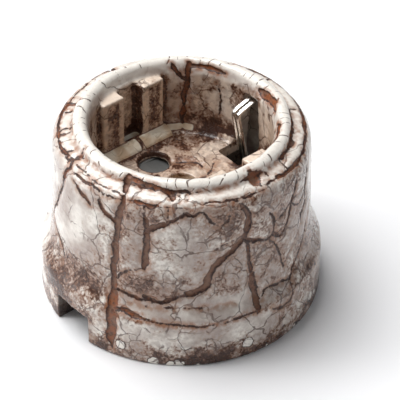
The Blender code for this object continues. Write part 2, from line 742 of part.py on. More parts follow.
def make_shutter_spring():
    """A torsion spring round the hub, with a short tail out beside the peg."""
    steps_per_turn, sides = 14, 6
    count = SPRING_TURNS * steps_per_turn
    points = []
    for i in range(count + 1):
        angle = SPRING_START + FULL_TURN * i / steps_per_turn
        z = SPRING_BOTTOM_Z + (SPRING_TOP_Z - SPRING_BOTTOM_Z) * i / count
        points.append(Vector((SPRING_R * cos(angle), SPRING_R * sin(angle), z)))
    tail = PEG_ANGLE - radians(9)  # just short of the peg
    points.append(Vector((PEG_DISTANCE * cos(tail), PEG_DISTANCE * sin(tail), PEG_BOTTOM_Z + 0.5)))
    builder = bmesh.new()
    rings = []
    for i, point in enumerate(points):
        ahead = (points[min(i + 1, len(points) - 1)] - points[max(i - 1, 0)]).normalized()
        outward = Vector((point.x, point.y, 0)).normalized()
        across = ahead.cross(outward).normalized()
        outward = across.cross(ahead).normalized()
        turns = [FULL_TURN * k / sides for k in range(sides)]
        offsets = [(outward * cos(a) + across * sin(a)) * SPRING_WIRE_R for a in turns]
        rings.append([builder.verts.new(point + offset) for offset in offsets])
    for low, high in zip(rings, rings[1:]):
        join_rings(builder, low, high)
    builder.faces.new(rings[0])
    builder.faces.new(rings[-1])
    return new_piece("shutter_spring", builder, "steel")


def main():
    clear_scene()
    make_cover()
    make_cover_screw()
    make_backing_plate()
    make_contact_base()
    make_insert()
    for side_name, turn in (("right", 0), ("left", pi)):
        make_contact(side_name, turn)
        make_terminal(side_name, *along_bar(TERMINAL_DISTANCE, turn), turn + BAR_ANGLE)
    make_terminal("earth", *EARTH_TERMINAL, 0)
    make_earth_strap()
    for name, side in (("front", -1), ("rear", 1)):
        make_earth_clip(f"earth_clip_{name}", side)
        make_rivet(f"earth_clip_rivet_{name}", side)
    make_shutter_carrier()
    make_shutter_disc()
    make_shutter_spring()


main()
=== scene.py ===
import json
from itertools import product
from math import cos, hypot, pi, radians, sin, tau

import bmesh
import bpy
import numpy as np
from mathutils import Matrix, Vector, kdtree


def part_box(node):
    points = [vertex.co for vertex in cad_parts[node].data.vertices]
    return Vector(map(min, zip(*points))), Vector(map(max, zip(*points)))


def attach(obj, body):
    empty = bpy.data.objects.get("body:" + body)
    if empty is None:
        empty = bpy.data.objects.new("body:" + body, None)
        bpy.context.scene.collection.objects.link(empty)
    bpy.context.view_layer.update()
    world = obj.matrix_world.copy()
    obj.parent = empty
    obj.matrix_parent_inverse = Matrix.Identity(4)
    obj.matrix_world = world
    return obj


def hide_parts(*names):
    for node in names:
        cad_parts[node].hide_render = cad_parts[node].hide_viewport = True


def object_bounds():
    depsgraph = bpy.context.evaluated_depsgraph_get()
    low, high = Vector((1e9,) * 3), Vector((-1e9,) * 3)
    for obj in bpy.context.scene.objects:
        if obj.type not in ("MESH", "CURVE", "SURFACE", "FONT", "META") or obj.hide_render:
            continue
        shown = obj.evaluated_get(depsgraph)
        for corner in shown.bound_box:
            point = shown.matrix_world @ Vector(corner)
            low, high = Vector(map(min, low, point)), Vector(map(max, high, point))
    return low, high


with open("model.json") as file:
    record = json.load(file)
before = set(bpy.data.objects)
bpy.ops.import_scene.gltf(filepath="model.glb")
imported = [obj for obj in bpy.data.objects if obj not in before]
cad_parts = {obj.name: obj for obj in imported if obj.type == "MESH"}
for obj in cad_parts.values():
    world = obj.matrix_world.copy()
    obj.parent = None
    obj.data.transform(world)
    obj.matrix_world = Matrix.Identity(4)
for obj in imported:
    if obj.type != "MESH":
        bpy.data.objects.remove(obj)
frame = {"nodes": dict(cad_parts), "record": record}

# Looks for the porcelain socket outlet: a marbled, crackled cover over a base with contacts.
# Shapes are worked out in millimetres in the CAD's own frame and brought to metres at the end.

cad_low, cad_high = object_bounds()
MM = 0.001


# ---------------------------------------------------------------- camera, floor and light
VIEW_TARGET = Vector((2.70, 3.10, 20.99)) * MM
VIEW_DISTANCE = 0.5
VIEW_ELEVATION = radians(38.96)
VIEW_AZIMUTH = radians(139.0)  # the way the camera looks, in plan from +X
VIEW_ROLL = 0.0153
VIEW_LENS = 203.4
SENSOR_WIDTH = 36.0
FLOOR_REACH = 3.0
FLOOR_DROP = 0.02 * MM  # keeps the floor just clear of the back face
FLOOR_COLOUR = (0.92, 0.92, 0.93)
# Each lamp's name, place, size and power. All of them aim at the object.
LAMPS = [
    ("overhead", (-0.34, -0.12, 0.86), (0.8, 0.6), 10.5),
    ("left_window", (-0.55, -0.63, 0.35), (0.3, 0.6), 2.6),
    ("right_window", (0.7, 0.6, 0.4), (0.2, 0.6), 0.25),
]
SKY_COLOUR, SKY_STRENGTH = (0.95, 0.97, 1.0, 1.0), 0.2


def make_camera():
    data = bpy.data.cameras.new("camera")
    data.lens = VIEW_LENS
    data.sensor_width = SENSOR_WIDTH
    data.clip_start = 0.01
    camera = bpy.data.objects.new("camera", data)
    bpy.context.collection.objects.link(camera)
    level = cos(VIEW_ELEVATION)
    look = Vector((cos(VIEW_AZIMUTH) * level, sin(VIEW_AZIMUTH) * level, -sin(VIEW_ELEVATION)))
    roll = Matrix.Rotation(VIEW_ROLL, 3, "Z").to_quaternion()
    camera.rotation_mode = "QUATERNION"
    camera.rotation_quaternion = look.to_track_quat("-Z", "Y") @ roll
    camera.location = VIEW_TARGET - look * VIEW_DISTANCE
    bpy.context.scene.camera = camera


def make_floor():
    mesh = bpy.data.meshes.new("floor")
    outline = rectangle(-FLOOR_REACH, FLOOR_REACH, -FLOOR_REACH, FLOOR_REACH)
    mesh.from_pydata([(x, y, 0) for x, y in outline], [], [(0, 1, 2, 3)])
    floor = bpy.data.objects.new("floor", mesh)
    floor.location.z = -FLOOR_DROP
    bpy.context.collection.objects.link(floor)
    shader = Shader("floor")
    shader.finish(FLOOR_COLOUR, roughness=0.9)
    mesh.materials.append(shader.material)


def area_light(name, place, size, power):
    data = bpy.data.lights.new(name, "AREA")
    data.shape = "RECTANGLE"
    data.size, data.size_y = size
    data.energy = power
    light = bpy.data.objects.new(name, data)
    light.location = place
    light.rotation_mode = "QUATERNION"
    light.rotation_quaternion = (-Vector(place)).to_track_quat("-Z", "Y")
    bpy.context.collection.objects.link(light)


def make_light():
    world = bpy.data.worlds.new("studio")
    world.use_nodes = True
    background = world.node_tree.nodes["Background"]
    background.inputs["Color"].default_value = SKY_COLOUR
    background.inputs["Strength"].default_value = SKY_STRENGTH
    bpy.context.scene.world = world
    bpy.context.scene.view_settings.view_transform = "Standard"
    for lamp in LAMPS:
        area_light(*lamp)


# ---------------------------------------------------------------- procedural shaders
class Shader:
    """Builds one material's nodes. A value can be a number, a colour or another node's output."""

    def __init__(self, name):
        self.material = bpy.data.materials.new(name)
        self.material.use_nodes = True
        self.tree = self.material.node_tree
        self.principled = self.tree.nodes["Principled BSDF"]
        position = self.tree.nodes.new("ShaderNodeTexCoord").outputs["Object"]
        self.position = self.vector("MULTIPLY", position, (1 / MM, 1 / MM, 1 / MM))

    def put(self, socket, value):
        if isinstance(value, bpy.types.NodeSocket):
            self.tree.links.new(value, socket)
        elif isinstance(value, (tuple, list)) and len(value) == 3 and socket.type == "RGBA":
            socket.default_value = (*value, 1.0)
        else:
            socket.default_value = value

    def math(self, operation, *values):
        node = self.tree.nodes.new("ShaderNodeMath")
        node.operation = operation
        for socket, value in zip(node.inputs, values):
            self.put(socket, value)
        return node.outputs[0]

    def vector(self, operation, a, b):
        node = self.tree.nodes.new("ShaderNodeVectorMath")
        node.operation = operation
        self.put(node.inputs[0], a)
        self.put(node.inputs[1], b)
        return node.outputs[0]

    def separate(self, vector):
        node = self.tree.nodes.new("ShaderNodeSeparateXYZ")
        self.put(node.inputs[0], vector)
        return node.outputs

    def ramp(self, value, low, high, start=0.0, end=1.0):
        """A smooth step: start below low, end above high."""
        node = self.tree.nodes.new("ShaderNodeMapRange")
        node.interpolation_type = "SMOOTHSTEP"
        for socket, number in zip(node.inputs, (value, low, high, start, end)):
            self.put(socket, number)
        return node.outputs[0]

    def mix(self, factor, a, b):
        node = self.tree.nodes.new("ShaderNodeMix")
        node.data_type = "RGBA"
        self.put(node.inputs["Factor"], factor)
        self.put(node.inputs[6], a)
        self.put(node.inputs[7], b)
        return node.outputs[2]

    def noise(self, size, detail=3.0, shift=0.0, stretch=None):
        """Fractal noise about 0.5 whose features are about size millimetres across."""
        position = self.position
        if stretch:
            position = self.vector("MULTIPLY", position, stretch)
        if shift:
            position = self.vector("ADD", position, (shift, shift, shift))
        node = self.tree.nodes.new("ShaderNodeTexNoise")
        self.put(node.inputs["Vector"], position)
        node.inputs["Scale"].default_value = 1 / size
        node.inputs["Detail"].default_value = detail
        return node.outputs[0]

    def warped(self, size, amount, shift=0.0):
        """The position moved about by noise, so that what is drawn with it comes out irregular."""
        node = self.tree.nodes.new("ShaderNodeTexNoise")
        self.put(node.inputs["Vector"], self.vector("ADD", self.position, (shift, shift, shift)))
        node.inputs["Scale"].default_value = 1 / size
        node.inputs["Detail"].default_value = 2.0
        centred = self.vector("SUBTRACT", node.outputs["Color"], (0.5, 0.5, 0.5))
        moved = self.vector("MULTIPLY", centred, (amount, amount, amount))
        return self.vector("ADD", self.position, moved)

    def edges(self, size, position, shift=0.0):
        """Distance in millimetres to the borders of cells about size across."""
        node = self.tree.nodes.new("ShaderNodeTexVoronoi")
        node.feature = "DISTANCE_TO_EDGE"
        where = self.vector("ADD", position, (shift, shift, shift))
        self.put(node.inputs["Vector"], where)
        node.inputs["Scale"].default_value = 1 / size
        return self.math("MULTIPLY", node.outputs["Distance"], size)

    def cells(self, size, position):
        """Distance in millimetres to the nearest cell's middle, and that cell's random number."""
        node = self.tree.nodes.new("ShaderNodeTexVoronoi")
        self.put(node.inputs["Vector"], position)
        node.inputs["Scale"].default_value = 1 / size
        return self.math("MULTIPLY", node.outputs["Distance"], size), node.outputs["Color"]

    def attribute(self, name):
        node = self.tree.nodes.new("ShaderNodeAttribute")
        node.attribute_name = name
        return node.outputs["Fac"]

    def bump(self, height, depth):
        node = self.tree.nodes.new("ShaderNodeBump")
        node.inputs["Distance"].default_value = depth * MM
        self.put(node.inputs["Height"], height)
        return node.outputs[0]

    def finish(self, colour, roughness, metallic=0.0, normal=None):
        self.put(self.principled.inputs["Base Color"], colour)
        self.put(self.principled.inputs["Roughness"], roughness)
        self.put(self.principled.inputs["Metallic"], metallic)
        if normal:
            self.put(self.principled.inputs["Normal"], normal)
        return self.material


WHITE = (0.87, 0.82, 0.75)
PINK_GREY = (0.49, 0.41, 0.365)
HAZE = (0.28, 0.20, 0.165)
TAN = (0.80, 0.54, 0.34)
# The pooled glaze's two creams, painted lighter as a painted highlight.
CREAM_AND_HIGHLIGHT = (0.93, 0.85, 0.70)
DULL_CREAM_AND_LIGHT = (0.68, 0.51, 0.34)
LIGHT_STAIN = (0.36, 0.22, 0.15)
STAIN = (0.15, 0.062, 0.033)
DARK = (0.040, 0.014, 0.008)
CRACK = (0.075, 0.030, 0.018)
VEIN = (0.135, 0.062, 0.039)
VEIN_CORE = (0.22, 0.112, 0.064)
RUST = (0.27, 0.078, 0.022)
LIGHT_RUST = (0.34, 0.125, 0.048)
# Unglazed clay, made darker as painted shade.
BARE_AND_SHADE = (0.060, 0.045, 0.040)


def glaze_ground(s, lip, z, from_axis):
    """Clean white on the lip, pinker and greyer in clouds elsewhere, thinner and tan in the well."""
    cloud = s.ramp(s.noise(8.0, 3.0, 3.0), 0.35, 0.62)
    colour = s.mix(s.math("MULTIPLY", cloud, s.math("SUBTRACT", 1.0, lip)), WHITE, PINK_GREY)
    in_well = s.ramp(from_axis, WELL_R + 0.55, WELL_R - 0.25)
    in_well = s.math("MULTIPLY", in_well, s.ramp(z, LIP_TOP - 1.7, LIP_TOP - 4.2))
    thin = s.math("MULTIPLY", in_well, s.ramp(z, FLOOR_Z + 0.6, FLOOR_Z + 2.0, 0.4, 0.7))
    return s.mix(thin, colour, TAN)


def mottled(s, colour, stain_and_shade):
    """Brown shows where noise falls under the local amount of stain and painted shade. Returns that excess
    too.
    """
    haze = s.ramp(s.noise(1.1, 4.0, 13.0), 0.34, 0.66)
    haze = s.math("MULTIPLY", haze, s.math("MULTIPLY_ADD", stain_and_shade, 1.4, 0.1))
    colour = s.mix(haze, colour, HAZE)
    blotch = s.math("MULTIPLY", s.noise(3.2, 5.0), 0.6)
    blotch = s.math("ADD", blotch, s.math("MULTIPLY", s.noise(0.6, 4.0, 7.0), 0.4))
    excess = s.math("SUBTRACT", s.math("MULTIPLY_ADD", stain_and_shade, 0.32, 0.305), blotch)
    colour = s.mix(s.ramp(excess, -0.12, 0.05, 0.0, 0.65), colour, LIGHT_STAIN)
    colour = s.mix(s.ramp(excess, -0.02, 0.07, 0.0, 0.85), colour, STAIN)
    colour = s.mix(s.ramp(excess, 0.04, 0.12, 0.0, 0.85), colour, DARK)
    speck = s.ramp(s.noise(0.4, 3.0, 31.0), 0.37, 0.30)
    speck = s.math("MULTIPLY", speck, s.math("MULTIPLY_ADD", stain_and_shade, 0.6, 0.12))
    return s.mix(speck, colour, STAIN), excess


def with_islands(s, colour, z):
    """Rounded clean islands with a dark outline in the stained band round the foot."""
    from_middle, number = s.cells(4.6, s.warped(1.8, 1.6, 60.0))
    in_foot = s.math("MULTIPLY", s.ramp(z, 6.0, 5.0), s.ramp(number, 0.36, 0.40))
    outline = s.math("MULTIPLY", in_foot, s.ramp(from_middle, 1.6, 1.4, 0.0, 0.9))
    island = s.math("MULTIPLY", in_foot, s.ramp(from_middle, 1.32, 1.15))
    return s.mix(island, s.mix(outline, colour, DARK), WHITE)


def crackle(s, stain_and_shade, lip, x, y):
    """1 on fine cracks: two nets of them that show only in places, and short ones across the lip."""
    thick = s.ramp(s.noise(2.6, 2.0, 35.0), 0.35, 0.7, 0.02, 0.2)
    large = s.math("SUBTRACT", s.edges(9.5, s.warped(3.0, 2.6)), thick)
    large_here = s.ramp(s.math("MULTIPLY_ADD", stain_and_shade, 0.2, s.noise(12.0, 2.0, 50.0)), 0.46, 0.56)
    large_line = s.math("MULTIPLY", s.ramp(large, 0.10, -0.04), s.math("MULTIPLY", large_here, 0.8))
    small = s.edges(3.6, s.warped(1.8, 1.5, 20.0), 9.0)
    small_here = s.ramp(s.math("MULTIPLY_ADD", stain_and_shade, 0.22, s.noise(6.0, 2.0, 90.0)), 0.60, 0.70)
    small_line = s.math("MULTIPLY", s.ramp(small, 0.16, 0.04), s.math("MULTIPLY", small_here, 0.7))
    off_lip = s.ramp(lip, 0.82, 0.95, 1.0, 0.1)
    net = s.math("MULTIPLY", s.math("MAXIMUM", large_line, small_line), off_lip)

    angle = s.math("ARCTAN2", y, x)
    uneven = s.math("MULTIPLY_ADD", angle, 7.5, s.math("MULTIPLY", s.noise(9.0, 1.0, 70.0), 4.0))
    saw = s.math("ABSOLUTE", s.math("SUBTRACT", s.math("FRACT", uneven), 0.5))
    across = s.ramp(saw, 0.055, 0.03)
    lip_here = s.ramp(s.noise(1.6, 1.0, 44.0), 0.46, 0.54)
    lip_here = s.math("MULTIPLY", s.ramp(lip, 0.82, 0.95), lip_here)
    return s.math("MAXIMUM", net, s.math("MULTIPLY", across, lip_here))


def veined(s, colour):
    """Brown veins with a lighter middle, dark edges and rust, in a stained border.

    Returns how far inside a vein each point is, too.
    """
    vein, rust = s.attribute("vein"), s.attribute("rust")
    ragged = s.math("MULTIPLY_ADD", s.noise(0.8, 4.0, 5.0), 0.7, s.math("SUBTRACT", vein, 0.35))
    border_here = s.ramp(s.noise(1.5, 4.0, 61.0), 0.38, 0.6, 0.1, 0.8)
    border = s.math("MULTIPLY", s.ramp(ragged, 1.3, 0.0), border_here)
    colour = s.mix(border, colour, s.mix(rust, LIGHT_STAIN, LIGHT_RUST))
    bed = s.mix(s.ramp(s.noise(0.7, 4.0, 17.0), 0.40, 0.60), VEIN, STAIN)
    rusty = s.math("MULTIPLY", rust, s.ramp(s.noise(1.2, 4.0, 23.0), 0.36, 0.56))
    bed = s.mix(rusty, bed, RUST)
    bed = s.mix(s.ramp(s.noise(0.5, 3.0, 29.0), 0.46, 0.36, 0.0, 0.7), bed, DARK)
    core_here = s.ramp(s.noise(1.0, 3.0, 46.0), 0.40, 0.58, 0.1, 0.8)
    core = s.math("MULTIPLY", s.ramp(ragged, -0.25, -0.5), core_here)
    core = s.math("MULTIPLY", core, s.math("SUBTRACT", 1.0, rusty))
    bed = s.mix(core, bed, VEIN_CORE)
    edge_here = s.ramp(s.noise(1.6, 2.0, 12.0), 0.34, 0.52, 0.5, 1.0)
    edge = s.math("MULTIPLY", s.ramp(ragged, -0.34, -0.10), edge_here)
    bed = s.mix(edge, bed, DARK)
    inside = s.ramp(ragged, 0.14, -0.02)
    return s.mix(inside, colour, bed), inside


def with_pool(s, colour):
    """The thick, clean, cream glaze pooled along the foot of the guide blocks, painted bright as a
    highlight, with a dark outline that is brown stain and painted shade. Returns its place too.
    """
    pool = s.math("SUBTRACT", s.attribute("cream_and_highlight"), 0.15)
    pool = s.math("MULTIPLY_ADD", s.noise(1.5, 3.0, 77.0), 0.3, pool)
    # The pool's dark outline: brown stain and painted shade.
    outline = s.math("MULTIPLY", s.ramp(pool, 0.1, 0.3), s.ramp(pool, 0.75, 0.55))
    colour = s.mix(s.math("MULTIPLY", outline, 0.8), colour, STAIN)
    pooled = s.ramp(pool, 0.5, 0.7)
    cream_and_highlight = s.mix(s.ramp(s.noise(5.0, 2.0, 57.0), 0.42, 0.62), CREAM_AND_HIGHLIGHT, DULL_CREAM_AND_LIGHT)
    return s.mix(pooled, colour, cream_and_highlight), pooled


def glaze_material():
    """White glaze with thick brown veins, a crackle of fine dark lines and mottled brown stains that carry
    painted shade in places, and a painted highlight on the pooled glaze.
    """
    s = Shader("marbled_glaze")
    stain_and_shade, lip = s.attribute("stain_and_shade"), s.attribute("lip")
    x, y, z = s.separate(s.position)[:3]
    from_axis = s.math("ADD", s.math("POWER", x, 2.0), s.math("POWER", y, 2.0))
    from_axis = s.math("POWER", from_axis, 0.5)

    colour = glaze_ground(s, lip, z, from_axis)
    colour, excess = mottled(s, colour, stain_and_shade)
    colour = with_islands(s, colour, z)
    line = crackle(s, stain_and_shade, lip, x, y)
    colour = s.mix(s.math("MULTIPLY", line, 0.88), colour, CRACK)
    colour, inside = veined(s, colour)
    # The notches' jambs: unglazed clay darkened as painted shade.
    colour = s.mix(s.attribute("bare_and_shade"), colour, BARE_AND_SHADE)
    colour, pooled = with_pool(s, colour)

    matt = s.math("MAXIMUM", inside, s.ramp(excess, -0.02, 0.08, 0.0, 0.4))
    matt = s.math("MULTIPLY", matt, s.math("SUBTRACT", 1.0, pooled))
    glossy = s.ramp(s.noise(2.0, 2.0, 80.0), 0.3, 0.7, 0.06, 0.16)
    roughness = s.math("MULTIPLY_ADD", matt, 0.36, glossy)
    height = s.math("MULTIPLY", s.noise(1.3, 3.0, 99.0), 0.55)
    height = s.math("SUBTRACT", height, s.math("MULTIPLY", line, 0.6))
    return s.finish(colour, roughness, normal=s.bump(height, 0.25))


CLAY, DULL_CLAY, CLAY_GRAIN = (0.74, 0.69, 0.60), (0.62, 0.56, 0.47), (0.40, 0.35, 0.29)
DARK_FIBRE, LIGHT_FIBRE = (0.075, 0.042, 0.028), (0.19, 0.12, 0.08)
DARK_GREY, LIGHT_GREY = (0.115, 0.116, 0.113), (0.17, 0.17, 0.163)
# How much finer fibres and scratches are along each axis.
FIBRE_GRAIN = (1, 3, 1)
SCRATCH_GRAIN = (6, 1, 0.6)
# Each metal's name, bright and dull colour, roughness where bright and dull, and of its scratches.
METALS = {
    "brass": ("dull_brass", (0.74, 0.52, 0.24), (0.52, 0.34, 0.15), 0.2, 0.42, 0.12),
    "nickel": ("bright_nickel", (0.80, 0.78, 0.74), (0.62, 0.59, 0.54), 0.08, 0.24, 0.08),
    "steel": ("zinc_steel", (0.62, 0.63, 0.64), (0.46, 0.45, 0.43), 0.26, 0.44, 0.12),
}


def steatite_material():
    s = Shader("steatite")
    colour = s.mix(s.ramp(s.noise(2.5, 4.0), 0.35, 0.7), CLAY, DULL_CLAY)
    colour = s.mix(s.ramp(s.noise(0.25, 2.0, 8.0), 0.62, 0.7), colour, CLAY_GRAIN)
    return s.finish(colour, 0.62, normal=s.bump(s.noise(0.3, 3.0), 0.06))


def fibre_material():
    s = Shader("pressed_fibre")
    colour = s.mix(s.noise(0.8, 4.0, stretch=FIBRE_GRAIN), DARK_FIBRE, LIGHT_FIBRE)
    return s.finish(colour, 0.82, normal=s.bump(s.noise(0.35, 3.0, stretch=FIBRE_GRAIN), 0.08))


def grey_plastic_material():
    s = Shader("grey_plastic")
    colour = s.mix(s.noise(3.0, 3.0), DARK_GREY, LIGHT_GREY)
    roughness = s.ramp(s.noise(0.8, 3.0), 0.3, 0.7, 0.36, 0.5)
    return s.finish(colour, roughness, normal=s.bump(s.noise(0.22, 2.0), 0.015))


def metal_material(name, bright, dull, low, high, scratch):
    """Plated or turned metal with dull patches and fine scratches."""
    s = Shader(name)
    patch = s.ramp(s.noise(2.2, 4.0), 0.4, 0.68)
    colour = s.mix(patch, bright, dull)
    lines = s.noise(0.5, 3.0, stretch=SCRATCH_GRAIN)
    roughness = s.math("ADD", s.ramp(patch, 0.0, 1.0, low, high), s.math("MULTIPLY", lines, scratch))
    return s.finish(colour, roughness, 1.0, s.bump(lines, 0.005))


def make_materials():
    """The finish of each material slot."""
    materials = {
        "glaze": glaze_material(),
        "steatite": steatite_material(),
        "fibre": fibre_material(),
        "grey_plastic": grey_plastic_material(),
    }
    for name, look in METALS.items():
        materials[name] = metal_material(*look)
    return materials


# ---------------------------------------------------------------- noise on points
def lattice(cells, seed):
    """A repeatable random number from 0 to 1 for each cell of whole numbers."""
    mixed = (cells.astype(np.int64) * np.array([73856093, 19349663, 83492791])).sum(axis=1)
    mixed = (mixed + seed * 2654435) & 0x7FFFFFFF
    mixed = ((mixed ^ (mixed >> 13)) * 1274126177) & 0x7FFFFFFF
    mixed = (mixed ^ (mixed >> 16)) & 0xFFFF
    return mixed / 0xFFFF


def smooth_noise(points, size, seed):
    """Smooth noise from 0 to 1 at each point, with features about size across."""
    scaled = points / size
    base = np.floor(scaled)
    part = scaled - base
    part = part * part * (3 - 2 * part)
    total = np.zeros(len(points))
    for corner in product((0, 1), repeat=3):
        weight = np.prod(np.where(corner, part, 1 - part), axis=1)
        total += weight * lattice(base + corner, seed)
    return total


def fractal_noise(points, size, seed, octaves=3):
    total, weight = np.zeros(len(points)), 0.0
    for octave in range(octaves):
        share = 0.5**octave
        total += share * smooth_noise(points, size * share, seed + octave)
        weight += share
    return total / weight


def rise(value, low, high):
    """Smooth step from 0 at low to 1 at high."""
    part = np.clip((value - low) / (high - low), 0, 1)
    return part * part * (3 - 2 * part)


# ---------------------------------------------------------------- cover
LIP_TOP = cad_high.z / MM
FOOT_R = cad_high.x / MM
WELL_R = 19.75
FLOOR_Z = 26.0
POCKET_R, POCKET_Z = 13.1, 24.5
HOLLOW_R, HOLLOW_TOP_Z = 25.3, 38.5
CUP_WALL_R, CUP_BOTTOM_Z = 22.75, 23.0
SCREW_BOSS_R, SCREW_BOSS_Z = 4.3, 21.0
SCREW_HOLE_R, SCREW_WELL_R, SCREW_WELL_Z = 2.3, 3.3, 22.2
PIN_X, PIN_HOLE_R, PIN_MOUTH_R = 9.5, 3.3, 3.65
GUIDE_FACE_X, GUIDE_HALF_WIDTH, GUIDE_TOP_Z = 16.3, 8.7, 41.2
GUIDE_CORNER = 25.5  # degrees from X to where a guide block meets the well's wall
GROOVE_DEPTH_X, GROOVE_HALF_WIDTH = 19.4, 2.65
CLIP_HALF_WIDTH, CLIP_TOP_HALF_WIDTH, CLIP_SLOT_TOP_Z = 3.5, 2.3, 39.8
CLIP_OPENING_Y, CLIP_SLOT_Y = (13.7, 19.0), (18.0, 23.45)  # from inside to outside
NOTCH_HALF_WIDTH, NOTCH_TOP_Z, NOTCH_CORNER_R = 5.1, 7.0, 0.8
HOLE_LOW_Z, HOLE_HIGH_Z = 20.0, 30.0  # clear of both faces of the well's floor
ROUND_SEGMENTS, HOLE_SEGMENTS = 240, 48
VOXEL = 0.35  # of the skin that softens all edges
FAR = 4.0  # a distance to the nearest vein past which nothing changes
# Where parts of the glaze begin and end, as pairs from none to full.
OUTSIDE_R = (23.0, 24.5)
SHOULDER_Z = (39.8, 41.0)
LIP_Z, LIP_R = (42.0, 43.2), (20.0, 20.9)
GUIDE_Z = (GUIDE_TOP_Z + 0.4, GUIDE_TOP_Z - 0.6)
POOL_TOP_Z, POOL_FLOOR_Z = (29.0, 28.2), (FLOOR_Z + 0.15, FLOOR_Z + 0.6)
POOL_SEAM_Y = 0.6  # where the pool along a guide block is parted
FILLET_R = 17.6
# The outline from the foot over the lip to the middle of the well's floor: radius and height.
OUTLINE = [
    (FOOT_R - 0.3, 0.0),
    (FOOT_R, 0.8),
    (FOOT_R, 10.8),
    (31.2, 11.9),
    (30.4, 13.0),
    (29.5, 14.6),
    (29.0, 16.4),
    (28.75, 18.5),
    (28.3, 36.7),
    (28.1, 39.0),
    (27.3, 40.9),
    (26.3, 41.6),
    (24.4, 41.9),
    (24.1, 42.3),
    (23.7, 43.4),
    (22.9, 44.0),
    (22.0, LIP_TOP),
    (21.2, 44.0),
    (20.6, 43.4),
    (20.1, 42.2),
    (WELL_R, 40.6),
    (WELL_R, FLOOR_Z + 1.0),
    (WELL_R - 0.3, FLOOR_Z + 0.3),
    (WELL_R - 1.0, FLOOR_Z),
    (0.0, FLOOR_Z),
]


def outline_point(distance):
    """Radius and height at a distance along the outline from its foot."""
    for (r0, z0), (r1, z1) in zip(OUTLINE, OUTLINE[1:]):
        length = hypot(r1 - r0, z1 - z0)
        if distance <= length:
            share = distance / length
            return r0 + (r1 - r0) * share, z0 + (z1 - z0) * share
        distance -= length
    return OUTLINE[-1]


def surface_point(azimuth, distance):
    radius, z = outline_point(distance)
    angle = radians(azimuth)
    return Vector((radius * cos(angle), radius * sin(angle), z))


